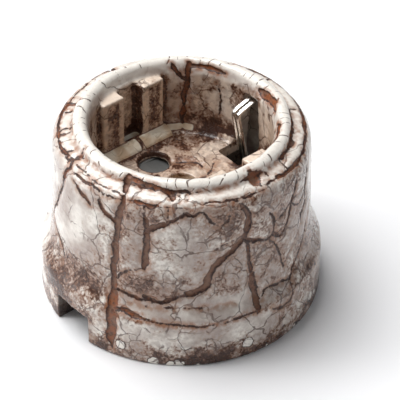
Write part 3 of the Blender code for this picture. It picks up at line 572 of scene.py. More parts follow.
# Main veins of the glaze: width, share of rust, then stations as (azimuth in degrees, distance up
# the outline from the foot in millimetres).
VEINS = [
    # down the front left, from the lip to the foot
    (1.5, 0.3, [(291.5, 47), (292, 45), (293, 41), (291.5, 36), (290.5, 30), (289.5, 22), (290, 17)]),
    (2.1, 0.8, [(290, 18), (290.5, 15), (291, 13), (291, 9.5), (290.5, 5), (291.5, 2)]),
    (1.2, 0.2, [(281, 40), (283.5, 37), (288, 35.6), (291, 35)]),
    (1.5, 0.3, [(303.5, 38), (304.5, 35), (305, 31), (303.5, 25)]),
    (0.7, 0.3, [(303, 41.5), (303, 38.6), (304.5, 35)]),
    (1.4, 0.2, [(304.5, 35), (309, 36.6), (314, 38)]),
    (0.7, 0.2, [(314, 38), (317, 38.6), (321, 40.2), (325.5, 39.7), (329, 40.5), (332, 38.2), (336, 36.5)]),
    (0.5, 0.2, [(336, 36.5), (340, 37.4), (341, 39.3)]),
    (0.5, 0.3, [(303.5, 25), (296, 23), (293, 21.6), (291, 20)]),
    # the fork on the front right
    (1.5, 0.2, [(346, 40.9), (349.5, 38), (349.5, 35), (347, 31.4), (341, 28.5), (334, 25.5)]),
    (1.6, 0.2, [(334, 25.5), (331.5, 23), (330.5, 20.6), (327, 19.4), (322, 18.7)]),
    (1.0, 0.1, [(322, 18.7), (316, 17.5), (310, 16.5), (304, 17.5)]),
    (0.4, 0.1, [(347.5, 33), (342.5, 31.7), (336.6, 30.7), (333, 28.8)]),
    (1.1, 0.2, [(347, 31.4), (351, 30), (356, 29)]),
    (0.7, 0.2, [(356, 29), (360, 28.4), (363.3, 29.5), (363.8, 32.3), (361, 36)]),
    (0.6, 0.2, [(361.4, 28), (365.5, 25), (368.5, 21.4), (370, 18.5)]),
    (0.9, 0.3, [(348.7, 30.4), (350, 26), (351.5, 21)]),
    (1.7, 0.3, [(351.5, 21), (352, 18.5), (353, 15), (352.5, 11)]),
    (0.5, 0.2, [(370, 18), (375, 20.5), (384.6, 24.3), (385.5, 27.6)]),
    (0.5, 0.2, [(363.8, 31.7), (369.4, 32.4), (375.8, 33.9), (383.7, 34.2)]),
    (0.7, 0.3, [(372.3, 14.4), (371, 10.4), (366, 9), (359, 10.7)]),
    (0.5, 0.2, [(355, 13.7), (357, 15.3), (363.3, 15.4), (371, 14.8)]),
    (0.8, 0.3, [(381, 40.5), (380, 37), (376, 33.5), (374, 30), (368.5, 27), (363, 29.5)]),
    (0.7, 0.3, [(396, 40), (393, 36), (390, 33), (391, 29), (385.5, 27)]),
    (0.5, 0.3, [(376, 33.5), (380, 31.5), (385, 31), (390, 33)]),
    (0.6, 0.4, [(399, 26), (393, 22.5), (388, 19), (380, 17), (372, 14.4)]),
    # the left side
    (0.6, 0.3, [(257, 37.7), (254, 33.6), (248, 28.3), (240, 22.4), (243, 20.5), (255, 18.4), (258, 15.4)]),
    (1.1, 0.4, [(264, 39.5), (268, 38.6), (273, 37.6), (278, 36)]),
    # round the shoulder and across it
    (0.9, 1.0, [(214, 42.4), (228, 42.0), (243, 42.2), (252, 42.6), (258, 43.4)]),
    (0.8, 1.0, [(219, 45.0), (220, 42.2)]),
    (0.7, 0.8, [(236, 45.4), (237, 43.8), (236, 42.2)]),
    (1.0, 1.0, [(256, 47), (257, 45.5), (258, 43.4), (259, 41.5), (257.5, 39.5), (256.5, 37.5)]),
    (0.5, 0.8, [(258, 43.4), (268, 43.2), (280, 42.6), (292, 42.8)]),
    (0.4, 0.4, [(262, 41.2), (272, 41.4), (283, 41.0), (292, 41.4)]),
    (1.7, 1.0, [(292, 46.4), (298, 46.6), (303, 46.4), (307, 46.0)]),
    (1.1, 0.7, [(307, 46.0), (312, 45.4), (315, 44.4), (315.5, 42.9)]),
    (1.0, 0.2, [(314, 45.3), (319, 45.4), (325, 45.4)]),
    (1.1, 0.9, [(296, 41.9), (300, 41.7), (305, 41.6), (309, 41.9)]),
    (0.4, 0.2, [(313.5, 41.6), (314, 39.5), (313.5, 38)]),
    (0.5, 0.4, [(318.5, 45.0), (319, 42.8)]),
    (0.4, 0.4, [(322.5, 45.0), (322.5, 43.4)]),
    (0.5, 0.4, [(324, 42.2), (332, 42.6), (340, 42.2), (352, 42.4)]),
    (2.5, 0.9, [(357.5, 47.2), (358.5, 45.5), (359.5, 43)]),
    (1.3, 0.7, [(362, 42.6), (368, 42.9), (375, 42.6), (387, 41.8)]),
    (1.0, 0.6, [(387, 41.8), (400, 42.0), (416, 42.4), (432, 42.2)]),
    (0.6, 0.4, [(366, 45.2), (368, 43)]),
    (0.5, 0.4, [(379, 45.4), (377, 42.6)]),
    (0.5, 0.4, [(406, 45.2), (405, 42.2)]),
    # low on the front, round the flange
    (0.8, 0.6, [(292, 17.2), (300, 16.6), (308, 17.0)]),
    (1.2, 1.0, [(292, 13.0), (298, 13.2), (304, 12.6)]),
    (0.5, 0.6, [(304, 12.6), (316, 11.8), (333, 11.2), (351, 11.9)]),
    (0.3, 0.3, [(297, 15.2), (320, 15.4), (343, 15)]),
    # inside the well
    (1.2, 0.7, [(135, 50), (136.6, 53.5), (138, 58), (139, 63), (139, 69)]),
    (1.2, 1.0, [(135, 51), (122, 50.8), (112, 51.4)]),
    (0.9, 0.9, [(147, 50), (141.5, 53.5), (137, 54.4)]),
    (0.6, 0.3, [(118, 54), (114, 58), (116, 63)]),
    (0.6, 0.3, [(152, 53), (150, 59), (153, 66)]),
    (2.0, 1.0, [(85, 51), (76, 50.6), (68, 50.5), (61, 51.2)]),
    (0.6, 0.3, [(18, 80), (352, 79), (310, 79.5)]),
    (0.6, 0.3, [(40, 84), (80, 80), (95, 76)]),
]


def curve_through(stations, step=0.4):
    """Closely spaced points on a smooth curve through the stations."""
    ends = [stations[0] * 2 - stations[1], *stations, stations[-1] * 2 - stations[-2]]
    points = []
    for a, b, c, d in zip(ends, ends[1:], ends[2:], ends[3:]):
        count = max(2, int((c - b).length / step))
        for i in range(count):
            t = i / count
            smooth = b * 2 + (c - a) * t + (a * 2 - b * 5 + c * 4 - d) * t**2
            points.append((smooth + (b * 3 - a - c * 3 + d) * t**3) / 2)
    return points + [stations[-1]]


# The veins that the front shows, and the same ones mirrored round to the back.
VEIN_COPIES = ((0, 1), (470, -1))  # degrees added, and which way round
TAPER_STEPS = 5
TIP_SHARE = 0.35
JOIN_DISTANCE = 1.0
VEIN_WANDER, VEIN_RIPPLE = 0.6, 0.45
BED_DEPTH, CROWN_DEPTH, CROWN_WIDTH = 0.42, 0.22, 0.8
SHOULDER_GROOVE = (24.15, 42.45)  # radius and height
SHOULDER_EDGE = (27.5, 40.9)
SEAMS_FROM_Z = 38.0


def vein_samples():
    """Points along the middles of all main veins, each with its half width and share of rust."""
    lines = []
    for offset, way in VEIN_COPIES:
        for width, rust, stations in VEINS:
            line = curve_through([surface_point(offset + way * a, distance) for a, distance in stations])
            lines.append((width, rust, line))
    samples = []
    for width, rust, line in lines:
        others = [point for _, _, other in lines if other is not line for point in other]
        starts_free, ends_free = (is_free(end, others) for end in (line[0], line[-1]))
        steps = min(TAPER_STEPS, len(line) / 5)
        for i, place in enumerate(line):
            from_start = i / steps if starts_free else 1
            from_end = (len(line) - 1 - i) / steps if ends_free else 1
            share = min(1.0, TIP_SHARE + (1 - TIP_SHARE) * min(from_start, from_end))
            samples.append((place, width / 2 * share, rust))
    return samples


def is_free(end, others):
    """Whether a vein's end meets no other vein, so that it tapers."""
    return all((end - other).length > JOIN_DISTANCE for other in others)


def ring_gap(points, ring, wave, size, seed):
    """Distance from a level ring round the cover whose height wavers by up to wave."""
    radius = np.hypot(points[:, 0], points[:, 1])
    height = ring[1] + wave * (smooth_noise(points * (1, 1, 0.2), size, seed) - 0.5) * 2
    return np.hypot(radius - ring[0], points[:, 2] - height)


def shoulder_gap(points):
    """Distance past the edge of the stained seams along the inner and outer edge of the shoulder."""
    groove_width = rise(fractal_noise(points, 9.0, 41), 0.42, 0.66) * 0.6
    groove = ring_gap(points, SHOULDER_GROOVE, 0.15, 4.0, 42) - groove_width
    rim_width = rise(fractal_noise(points, 7.0, 43), 0.36, 0.62) * 0.4
    rim = ring_gap(points, SHOULDER_EDGE, 1.1, 5.5, 44) - rim_width
    return np.minimum(groove, rim)


def vein_fields(points):
    """For each point the distance past the nearest vein's edge, negative inside it, and its rust."""
    samples = vein_samples()
    tree = kdtree.KDTree(len(samples))
    for i, (place, _, _) in enumerate(samples):
        tree.insert(place, i)
    tree.balance()
    wander = [smooth_noise(points, 3.2, seed) - 0.5 for seed in (11, 12, 13)]
    ripple = [smooth_noise(points, 0.9, seed) - 0.5 for seed in (14, 15, 16)]
    moved = points + VEIN_WANDER * np.stack(wander, axis=1) + VEIN_RIPPLE * np.stack(ripple, axis=1)
    swell = 0.7 + 0.6 * smooth_noise(points, 2.0, 17)
    distance, rust = np.full(len(points), FAR), np.zeros(len(points))
    for i, place in enumerate(moved):
        _, nearest, gap = tree.find(place)
        distance[i] = gap - samples[nearest][1] * swell[i]
        rust[i] = samples[nearest][2]
    seams = shoulder_gap(moved)
    seams[points[:, 2] < SEAMS_FROM_Z] = FAR
    rust = np.where(seams < distance, 0.75, rust)
    return np.minimum.reduce([distance, seams, np.full(len(points), FAR)]), rust


def turn_between(azimuth, centre):
    """Degrees between an azimuth and another, either way round."""
    return np.abs((azimuth - centre + 180) % 360 - 180)


def outside_stain_and_shade(points):
    """How brown the cover's outside is, with painted shade darkening its front, and how clean its cleaner
    bands are.
    """
    x, y, z = points.T
    azimuth = np.degrees(np.arctan2(y, x))

    def near(centre, reach, full):
        """1 within full degrees of an azimuth, 0 past reach."""
        return rise(turn_between(azimuth, centre), reach, full)

    outer = rise(np.hypot(x, y), *OUTSIDE_R)
    foot = rise(z, 6.5, 2.0) * 0.85
    left_flare = near(265, 36, 14) * rise(z, 24, 15) * rise(z, 4, 8) * 0.75
    right_side = near(25, 50, 20) * rise(z, 34, 14) * 0.5
    back_side = near(165, 60, 30) * rise(z, 30, 12) * 0.55
    # Two brown clouds on the front, which also darken it as painted shade.
    front_cloud_and_shade = near(309, 24, 8) * rise(np.abs(z - 19), 8, 2) * 0.64
    front_haze_and_shade = near(335, 65, 35) * rise(z, 41, 38) * 0.44
    under_shoulder = near(340, 60, 40) * rise(np.abs(z - 38), 5, 1) * 0.6
    clouds = [foot, left_flare, right_side, back_side, front_cloud_and_shade, front_haze_and_shade, under_shoulder]
    clean_band = near(322, 34, 27) * rise(z, 11.3, 12.6) * rise(z, 17.5, 15.5) * outer
    clean_flange = near(325, 50, 30) * rise(z, 4.5, 6.5) * rise(z, 11.5, 10.5) * outer
    return outer * np.maximum.reduce(clouds), np.maximum(clean_band, clean_flange * 0.7)


def guide_stain_and_shade(along_x, along_y, radius):
    """How brown the guide blocks are: faces and grooves, with painted shade darkening each groove, its
    corners and sides, and the corners where a block meets the well's wall.
    """
    behind_face = along_x > GUIDE_FACE_X + 0.3
    # The groove's inside is darker: brown stain and painted shade.
    groove = behind_face * (along_y < GROOVE_HALF_WIDTH + 0.25) * 0.55
    # Painted shade in the groove's inner corners and along its sides.
    from_corner = np.hypot(along_x - GROOVE_DEPTH_X + 0.2, along_y - GROOVE_HALF_WIDTH + 0.25)
    groove_corner_shade = rise(from_corner, 1.3, 0.3) * 1.2
    groove_side_shade = rise(along_x, GUIDE_FACE_X + 0.1, GUIDE_FACE_X + 0.6) * 1.1
    groove_side_shade *= rise(np.abs(along_y - GROOVE_HALF_WIDTH), 0.7, 0.4)
    face = (along_x < GUIDE_FACE_X + 0.3) * (along_y < GUIDE_HALF_WIDTH + 0.2) * 0.72
    # Painted shade in the corner where a block's side meets the well's wall.
    from_side = np.hypot(radius - WELL_R, along_y - GUIDE_HALF_WIDTH - 0.3)
    side = rise(from_side, 2.0, 0.5)
    return np.maximum.reduce([groove, groove_corner_shade, groove_side_shade, face, side])


def well_stain_and_shade(points):
    """How brown the well is: patches on wall and floor, brown stain and painted shade in the corners at the
    foot of the wall and of the guide blocks, and dark rims of the pin holes.
    """
    x, y, z = points.T
    radius, along_x, along_y = np.hypot(x, y), np.abs(x), np.abs(y)
    in_well = (radius < WELL_R + 0.6) * (z > FLOOR_Z + 1)
    patch = rise(fractal_noise(points, 5.0, 53), 0.42, 0.58)
    wall = in_well * rise(z, LIP_TOP - 0.7, LIP_TOP - 4.2) * (0.05 + 0.6 * patch)
    # Brown stain and painted shade in the corner at the foot of the well's wall.
    wall_foot_stain_and_shade = in_well * rise(z, FLOOR_Z + 7, FLOOR_Z + 2.5) * 0.8
    guide = in_well * rise(z, *GUIDE_Z) * guide_stain_and_shade(along_x, along_y, radius)
    floor = (radius < WELL_R) * (z < FLOOR_Z + 1) * (0.25 + 0.6 * patch)
    from_pin_rim = np.abs(np.hypot(along_x - PIN_X, y) - PIN_HOLE_R - 0.2)
    pin_rim = rise(from_pin_rim, 0.6, 0.2) * (z > POCKET_Z - 0.5) * (radius < WELL_R) * 1.3
    return np.maximum.reduce([wall, wall_foot_stain_and_shade, guide, floor, pin_rim])


def stain_and_shade_field(points):
    """How brown each part of the glaze is, painted shade included, from 0 on the clean lip to 1 at the foot
    and in the well.
    """
    outside, clean_and_highlit = outside_stain_and_shade(points)
    brown_and_shade = np.maximum(outside, well_stain_and_shade(points))
    clouds = (fractal_noise(points, 9.0, 51) - 0.5) * 0.7
    # The lip's clean white also takes in the painted highlight on the guide blocks' edges.
    clean_and_highlit = np.maximum(clean_and_highlit, lip_field(points))
    return np.clip(brown_and_shade + clouds, 0, 1) * (1 - 0.85 * clean_and_highlit)


def lip_field(points):
    """1 on the clean white lip, a little less on the shoulder and on the guide blocks' tops and edges,
    whose lighter edges are thinner glaze and a painted highlight; 0 elsewhere.
    """
    radius = np.hypot(points[:, 0], points[:, 1])
    on_lip = rise(points[:, 2], *LIP_Z) * rise(radius, *LIP_R)
    shoulder = rise(points[:, 2], *SHOULDER_Z) * rise(radius, 23.5, 24.5)
    along_x, along_y = np.abs(points[:, 0]), np.abs(points[:, 1])
    in_well = (radius < WELL_R) * (points[:, 2] > FLOOR_Z + 1)
    # Lighter edges on the guide blocks: thinner glaze and a painted highlight.
    guide_edges_thin_and_highlit = [
        rise(np.hypot(along_x - GUIDE_FACE_X, along_y - edge_y), 1.2, 0.5)
        for edge_y in (GROOVE_HALF_WIDTH + 0.75, GUIDE_HALF_WIDTH - 0.4)
    ]
    guide_top = rise(points[:, 2], GUIDE_TOP_Z - 1.4, GUIDE_TOP_Z - 0.4)
    guide_top *= (along_x > GUIDE_FACE_X - 0.3) * (along_y < GUIDE_HALF_WIDTH + 0.1)
    on_guide = in_well * np.maximum.reduce([*guide_edges_thin_and_highlit, guide_top])
    return np.maximum.reduce([on_lip, shoulder * 0.8, on_guide * 0.8])


def bare_and_shade_field(points):
    """1 on the unglazed jambs of the two cable notches, painted dark as unglazed clay and painted shade."""
    x, y, z = np.abs(points.T)
    within_jambs = rise(x, NOTCH_HALF_WIDTH + 0.4, NOTCH_HALF_WIDTH + 0.05)
    below_top = rise(z, NOTCH_TOP_Z + 0.4, NOTCH_TOP_Z + 0.05)
    inside_face = rise(np.hypot(x, y), FOOT_R + 0.1, FOOT_R - 0.3)
    return within_jambs * below_top * inside_face * rise(y, 23.0, 24.0)


def cream_and_highlight_field(points):
    """1 on the glaze pooled in the corner at the foot of the guide blocks and of the well's wall, which is
    painted bright as a highlight.
    """
    x, y, z = points.T
    radius = np.hypot(x, y)
    low_down = rise(z, *POOL_TOP_Z) * rise(z, *POOL_FLOOR_Z)
    along_x, along_y = np.abs(x), np.abs(y)
    by_guide = rise(along_x, 13.2, 14.0) * rise(along_x, 17.0, 16.0)
    by_guide *= rise(along_y, GUIDE_HALF_WIDTH + 0.9, GUIDE_HALF_WIDTH + 0.3)
    by_guide *= rise(np.abs(y - POOL_SEAM_Y), 0.25, 0.8)
    beside_guide = rise(np.degrees(np.arctan2(along_y, along_x)), 52, 46)
    by_wall = (radius > FILLET_R) * (radius < WELL_R) * rise(z, 28.0, 27.3) * beside_guide
    return np.clip(low_down * np.maximum(by_guide, by_wall * 0.8), 0, 1)


def new_object(name, mesh):
    piece = bpy.data.objects.new(name, mesh)
    bpy.context.collection.objects.link(piece)
    return piece


def turned(name, profile, segments, radius_at=None):
    """A closed solid of revolution in millimetres, from a profile that ends on the axis or is a loop."""
    builder = bmesh.new()
    rings = []
    for radius, z in profile:
        turns = [tau * i / segments for i in range(segments if radius else 1)]
        radii = [radius_at(radius, a, z) if radius_at else radius for a in turns]
        rings.append([builder.verts.new((r * cos(a), r * sin(a), z)) for r, a in zip(radii, turns)])
    if profile[0][0]:
        rings.append(rings[0])
    for low, high in zip(rings, rings[1:]):
        for i in range(segments):
            j = (i + 1) % segments
            corners = [low[i % len(low)], high[i % len(high)], high[j % len(high)], low[j % len(low)]]
            builder.faces.new(list(dict.fromkeys(corners)))
    return mesh_object(name, builder)


def mesh_object(name, builder):
    bmesh.ops.recalc_face_normals(builder, faces=builder.faces)
    mesh = bpy.data.meshes.new(name)
    builder.to_mesh(mesh)
    builder.free()
    return new_object(name, mesh)


def prism(name, outline, low, high, placing=Matrix.Identity(4)):
    """A plan outline raised from low to high along the matrix's Z."""
    builder = bmesh.new()
    base = builder.faces.new([builder.verts.new((x, y, low)) for x, y in outline])
    raised = bmesh.ops.extrude_face_region(builder, geom=[base])
    tops = [v for v in raised["geom"] if isinstance(v, bmesh.types.BMVert)]
    bmesh.ops.translate(builder, verts=tops, vec=(0, 0, high - low))
    bmesh.ops.transform(builder, matrix=placing, verts=builder.verts)
    return mesh_object(name, builder)


def arc(centre, radius, start, end, steps):
    turns = [radians(start + (end - start) * i / steps) for i in range(steps + 1)]
    return [(centre[0] + radius * cos(a), centre[1] + radius * sin(a)) for a in turns]


def circle(radius, segments=24):
    return arc((0, 0), radius, 0, 360 - 360 / segments, segments - 1)


UPRIGHT = Matrix(((1, 0, 0, 0), (0, 0, 1, 0), (0, 1, 0, 0), (0, 0, 0, 1)))


def rectangle(x0, x1, y0, y1):
    return [(x0, y0), (x1, y0), (x1, y1), (x0, y1)]


def shape(piece, operation, others):
    """Joins other shapes to a piece or cuts them from it, and deletes them."""
    for other in others:
        step = piece.modifiers.new(other.name, "BOOLEAN")
        step.operation = operation
        step.solver = "MANIFOLD"
        step.object = other
    bake(piece)
    for other in others:
        bpy.data.objects.remove(other)
    return piece


def soften(piece, voxel):
    """Covers a piece with an even skin whose edges are slightly rounded."""
    skin = piece.modifiers.new("skin", "REMESH")
    skin.mode = "VOXEL"
    skin.voxel_size = voxel
    soft = piece.modifiers.new("soft_edges", "SMOOTH")
    soft.factor = 0.5
    soft.iterations = 3
    bake(piece)
    return piece


def bake(piece):
    """Applies the piece's modifiers to its mesh."""
    evaluated = piece.evaluated_get(bpy.context.evaluated_depsgraph_get())
    mesh = bpy.data.meshes.new_from_object(evaluated)
    old = piece.data
    piece.modifiers.clear()
    piece.data = mesh
    bpy.data.meshes.remove(old)


# The glaze pooled at the foot of a guide block (X and Z), and round the foot of the well's wall
# (radius and Z).
GUIDE_FOOT = [
    (17.5, FLOOR_Z - 0.5),
    (17.5, 28.3),
    (16.0, 28.5),
    (14.7, 28.1),
    (13.7, 27.1),
    (13.4, FLOOR_Z - 0.5),
]
FLOOR_FILLET = [
    (WELL_R + 0.5, 25.4),
    (WELL_R + 0.5, 28.6),
    (WELL_R, 28.3),
    (18.7, 27.0),
    (17.8, 26.1),
    (FILLET_R + 0.1, 25.4),
]


def guide_shapes(side, turn):
    """A guide block with its groove, and the pool of glaze along its foot."""
    back = arc((0, 0), WELL_R + 0.6, -GUIDE_CORNER, GUIDE_CORNER, 16)
    face = [
        (GUIDE_FACE_X, GUIDE_HALF_WIDTH),
        (GUIDE_FACE_X, GROOVE_HALF_WIDTH),
        (GROOVE_DEPTH_X, GROOVE_HALF_WIDTH),
        (GROOVE_DEPTH_X, -GROOVE_HALF_WIDTH),
        (GUIDE_FACE_X, -GROOVE_HALF_WIDTH),
        (GUIDE_FACE_X, -GUIDE_HALF_WIDTH),
    ]
    guide = prism(f"guide_{side}", back + face, FLOOR_Z - 0.6, GUIDE_TOP_Z, turn)
    reach = GUIDE_HALF_WIDTH + 0.5
    foot = prism(f"guide_foot_{side}", GUIDE_FOOT, -reach, reach, turn @ UPRIGHT)
    return [guide, foot]


def hole_shapes(side, turn):
    """What is cut away on one side: pin hole, earth opening with its slot, and cable notch."""
    bore = [
        (0, HOLE_LOW_Z),
        (PIN_HOLE_R, HOLE_LOW_Z),
        (PIN_HOLE_R, FLOOR_Z - 0.9),
        (PIN_MOUTH_R, FLOOR_Z - 0.1),
        (PIN_MOUTH_R, HOLE_HIGH_Z),
        (0, HOLE_HIGH_Z),
    ]
    pin = turned(f"pin_hole_{side}", bore, HOLE_SEGMENTS)
    pin.data.transform(turn @ Matrix.Translation((PIN_X, 0, 0)))
    opening_outline = rectangle(-CLIP_HALF_WIDTH, CLIP_HALF_WIDTH, *CLIP_OPENING_Y)
    opening = prism(f"opening_{side}", opening_outline, HOLE_LOW_Z, FLOOR_Z + 1, turn)
    slot_outline = [
        (-CLIP_HALF_WIDTH, CUP_BOTTOM_Z - 1),
        (CLIP_HALF_WIDTH, CUP_BOTTOM_Z - 1),
        (CLIP_HALF_WIDTH, FLOOR_Z),
        (CLIP_TOP_HALF_WIDTH, CLIP_SLOT_TOP_Z),
        (-CLIP_TOP_HALF_WIDTH, CLIP_SLOT_TOP_Z),
        (-CLIP_HALF_WIDTH, FLOOR_Z),
    ]
    slot = prism(f"clip_slot_{side}", slot_outline, *CLIP_SLOT_Y, turn @ UPRIGHT)
    corner_x, corner_z = NOTCH_HALF_WIDTH - NOTCH_CORNER_R, NOTCH_TOP_Z - NOTCH_CORNER_R
    notch_outline = [
        (-NOTCH_HALF_WIDTH, -1),
        (NOTCH_HALF_WIDTH, -1),
        *arc((corner_x, corner_z), NOTCH_CORNER_R, 0, 90, 4),
        *arc((-corner_x, corner_z), NOTCH_CORNER_R, 90, 180, 4),
    ]
    notch = prism(f"cable_notch_{side}", notch_outline, HOLLOW_R - 1.5, FOOT_R + 2, turn @ UPRIGHT)
    return [pin, opening, slot, notch]


def cover_shapes():
    """The cover's plain solid, before the glaze: shell, guide blocks, holes, slots and notches."""
    hollow = [
        (0, SCREW_BOSS_Z),
        (SCREW_BOSS_R, SCREW_BOSS_Z),
        (SCREW_BOSS_R, POCKET_Z),
        (POCKET_R, POCKET_Z),
        (POCKET_R, CUP_BOTTOM_Z),
        (CUP_WALL_R, CUP_BOTTOM_Z),
        (CUP_WALL_R, HOLLOW_TOP_Z),
        (HOLLOW_R, HOLLOW_TOP_Z),
        (HOLLOW_R, 0),
    ]
    cover = turned("cover_glazed", hollow + OUTLINE, ROUND_SEGMENTS)
    joined, taken = [], []
    for side in range(2):
        turn = Matrix.Rotation(pi * side, 4, "Z")
        joined += guide_shapes(side, turn)
        taken += hole_shapes(side, turn)
    joined.append(turned("floor_fillet", FLOOR_FILLET, ROUND_SEGMENTS))
    taken.append(prism("screw_hole", circle(SCREW_HOLE_R), SCREW_BOSS_Z - 2, HOLE_HIGH_Z))
    taken.append(prism("screw_well", circle(SCREW_WELL_R), SCREW_WELL_Z, HOLE_HIGH_Z))
    shape(cover, "UNION", joined)
    shape(cover, "DIFFERENCE", taken)
    return cover


def glaze_relief(points, vein):
    """How far each point sinks, so that the veins are recessed and the plates between them crowned."""
    bed = BED_DEPTH * rise(vein, 0.05, -0.35)
    crown = CROWN_DEPTH * np.exp(-np.square(np.maximum(vein, 0) / CROWN_WIDTH))
    waves = 0.16 * smooth_noise(points, 7.0, 31) + 0.10 * smooth_noise(points, 2.2, 32)
    return bed + crown + waves


def is_hidden(points):
    """Whether each point lies on the cover's plain inside."""
    radius = np.hypot(points[:, 0], points[:, 1])
    under_shoulder = (radius > CUP_WALL_R - 0.2) & (points[:, 2] < HOLLOW_TOP_Z + 0.2)
    under_floor = points[:, 2] < POCKET_Z + 0.3
    return (radius < HOLLOW_R + 0.2) & (under_shoulder | under_floor)


def make_cover(materials):
    cover = cover_shapes()
    soften(cover, VOXEL)
    mesh = cover.data
    count = len(mesh.vertices)
    points, normals = np.empty(count * 3), np.empty(count * 3)
    mesh.vertices.foreach_get("co", points)
    mesh.vertex_normals.foreach_get("vector", normals)
    points, normals = points.reshape(-1, 3).astype(float), normals.reshape(-1, 3)
    vein, rust = vein_fields(points)
    hidden = is_hidden(points)
    vein[hidden] = FAR
    sink = np.where(hidden, 0.0, glaze_relief(points, vein))
    off_back = rise(points[:, 2], 0.0, 1.2)  # the rim stays flat
    points = points - normals * (sink * off_back)[:, None]
    fields = {
        "vein": vein,
        "rust": rust,
        "stain_and_shade": np.where(hidden, 0.1, stain_and_shade_field(points)),
        "lip": np.where(hidden, 0.0, lip_field(points)),
        "cream_and_highlight": np.where(hidden, 0.0, cream_and_highlight_field(points)),
        "bare_and_shade": bare_and_shade_field(points),
    }
    for name, values in fields.items():
        layer = mesh.attributes.new(name, "FLOAT", "POINT")
        layer.data.foreach_set("value", values.astype(np.float32))
    mesh.vertices.foreach_set("co", (points * MM).ravel())
    mesh.shade_smooth()
    declare(cover, "porcelain_cover", materials)


# ---------------------------------------------------------------- pieces under the cover
BODIES = {node: body for body, nodes in frame["record"]["behaviour"]["bodies"].items() for node in nodes}
SLOTS = {row["node"]: row["material_slot"] for row in frame["record"]["subparts"]}
SMOOTH_UNDER = radians(32)  # edges flatter than this belong to a round face
WELD_DISTANCE = 0.001
# How far the edges of each pressed, moulded or turned piece are rounded.
ROUNDING = {
    "backing_plate": 0.2,
    "brass_insert": 0.2,
    "contact_spring": 0.12,
    "cover_screw_washer": 0.12,
    "earth_clip_rivet": 0.2,
    "earth_clip": 0.2,
    "earth_strap": 0.18,
    "line_contact": 0.15,
    "shutter_carrier": 0.25,
    "shutter_disc": 0.25,
    "terminal_cage": 0.22,
}
BASE_VOXEL = 0.3
THREAD_DEPTH = 0.37  # share of the pitch
THREAD_RINGS = 8  # to one pitch
THREAD_END = 0.5  # plain length at both ends of a shank
SLOT_WIDTH, SLOT_DEPTH = 0.26, 0.6  # shares of the head's radius and height
HEAD_CROWN_R, HEAD_CHAMFER, TIP_CHAMFER = 0.5, 0.15, 0.4
SCREW_SEGMENTS, SCREW_ROUNDING = 48, 0.05
# Each screw's shank radius, thread pitch, head height and the turn of its driver slot.
SCREWS = {
    "cover_screw": (1.75, 0.7, 1.5, 0.5),
    "contact_screw": (1.45, 0.5, 1.6, 0.2),
    "earth_strap_screw": (1.45, 0.5, 1.7, 0.3),
    "terminal_screw": (1.45, 0.5, 2.0, 1.2),
}


def declare(piece, node, materials):
    """Makes a finished piece stand for its CAD node: the same body, slot and finish."""
    piece.data.materials.clear()
    piece.data.materials.append(materials[SLOTS[node]])
    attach(piece, BODIES[node])
    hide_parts(node)


def node_copy(node):
    """A copy of a CAD node in millimetres, with whole flat faces and shared corners."""
    piece = new_object(f"{node}_finished", frame["nodes"][node].data.copy())
    piece.data.transform(Matrix.Scale(1 / MM, 4))
    weld = piece.modifiers.new("weld", "WELD")
    weld.merge_threshold = WELD_DISTANCE
    flat = piece.modifiers.new("flat_faces", "DECIMATE")
    flat.decimate_type = "DISSOLVE"
    flat.angle_limit = radians(1)
    return piece


def rounded(piece, width):
    rounding = piece.modifiers.new("rounding", "BEVEL")
    rounding.width = width
    rounding.segments = 3
    rounding.limit_method = "ANGLE"
    rounding.angle_limit = SMOOTH_UNDER
    bake(piece)
    return piece


def smooth_to_metres(piece):
    piece.data.transform(Matrix.Scale(MM, 4))
    piece.data.shade_smooth()
    piece.data.set_sharp_from_angle(angle=SMOOTH_UNDER)


def ceramic_copy(node):
    """A copy of a CAD node with the soft edges and faint waviness of pressed and fired clay."""
    return soften(node_copy(node), BASE_VOXEL)


def wire_copy(node):
    """A copy of a CAD node's wire, rounder than the node."""
    piece = node_copy(node)
    piece.modifiers.remove(piece.modifiers["flat_faces"])
    piece.modifiers.new("round_wire", "SUBSURF").levels = 1
    bake(piece)
    return piece


def cut_thread(shank_r, pitch, low, high):
    """The radius at an angle and height of a shank with a V thread cut between two heights."""

    def radius_at(radius, angle, z):
        if radius != shank_r or not low < z < high:
            return radius
        part = (z / pitch - angle / tau) % 1
        return radius - THREAD_DEPTH * pitch * abs(2 * part - 1)

    return radius_at


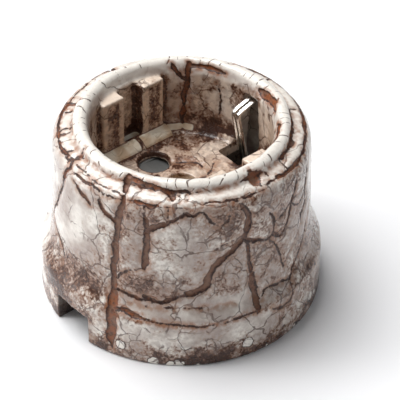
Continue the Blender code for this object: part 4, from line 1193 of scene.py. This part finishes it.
def make_screw(node, shank_r, pitch, head, slot_turn):
    """A slotted cheese-head screw with a real thread, in the place of its CAD node."""
    box_low, box_high = (Vector(corner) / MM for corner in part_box(node))
    head_r = (box_high.x - box_low.x) / 2
    tip, top = box_low.z, box_high.z
    seat = top - head
    rings = int((seat - tip - 2 * THREAD_END) / pitch * THREAD_RINGS)
    shank = [(shank_r, tip + THREAD_END + pitch * i / THREAD_RINGS) for i in range(rings)]
    crown = arc((head_r - HEAD_CROWN_R, top - HEAD_CROWN_R), HEAD_CROWN_R, 0, 80, 5)
    under = [(shank_r, seat - 0.1), (head_r - HEAD_CHAMFER, seat), (head_r, seat + HEAD_CHAMFER)]
    profile = [(0, tip), (shank_r - TIP_CHAMFER, tip + 0.1), *shank, *under, *crown, (0, top)]
    radius_at = cut_thread(shank_r, pitch, tip + THREAD_END, seat - THREAD_END)
    screw = turned(f"{node}_finished", profile, SCREW_SEGMENTS, radius_at)
    half_slot = SLOT_WIDTH / 2 * head_r
    slot_outline = rectangle(-head_r - 1, head_r + 1, -half_slot, half_slot)
    slot = prism(f"{node}_slot", slot_outline, top - SLOT_DEPTH * head, top + 1)
    shape(screw, "DIFFERENCE", [slot])
    middle = (box_low + box_high) / 2
    screw.data.transform(Matrix.Translation((middle.x, middle.y, 0)) @ Matrix.Rotation(slot_turn, 4, "Z"))
    return rounded(screw, SCREW_ROUNDING)


def make_inner_pieces(materials):
    """A finished piece for every CAD node except the cover."""
    for node in frame["nodes"]:
        kind = max((k for k in (*ROUNDING, *SCREWS) if node.startswith(k)), key=len, default="")
        if kind in SCREWS:
            piece = make_screw(node, *SCREWS[kind])
        elif kind in ROUNDING:
            piece = rounded(node_copy(node), ROUNDING[kind])
        elif node == "contact_base":
            piece = ceramic_copy(node)
        elif node == "shutter_spring":
            piece = wire_copy(node)
        else:
            continue
        smooth_to_metres(piece)
        declare(piece, node, materials)


make_camera()
make_floor()
make_light()
materials = make_materials()
make_cover(materials)
make_inner_pieces(materials)
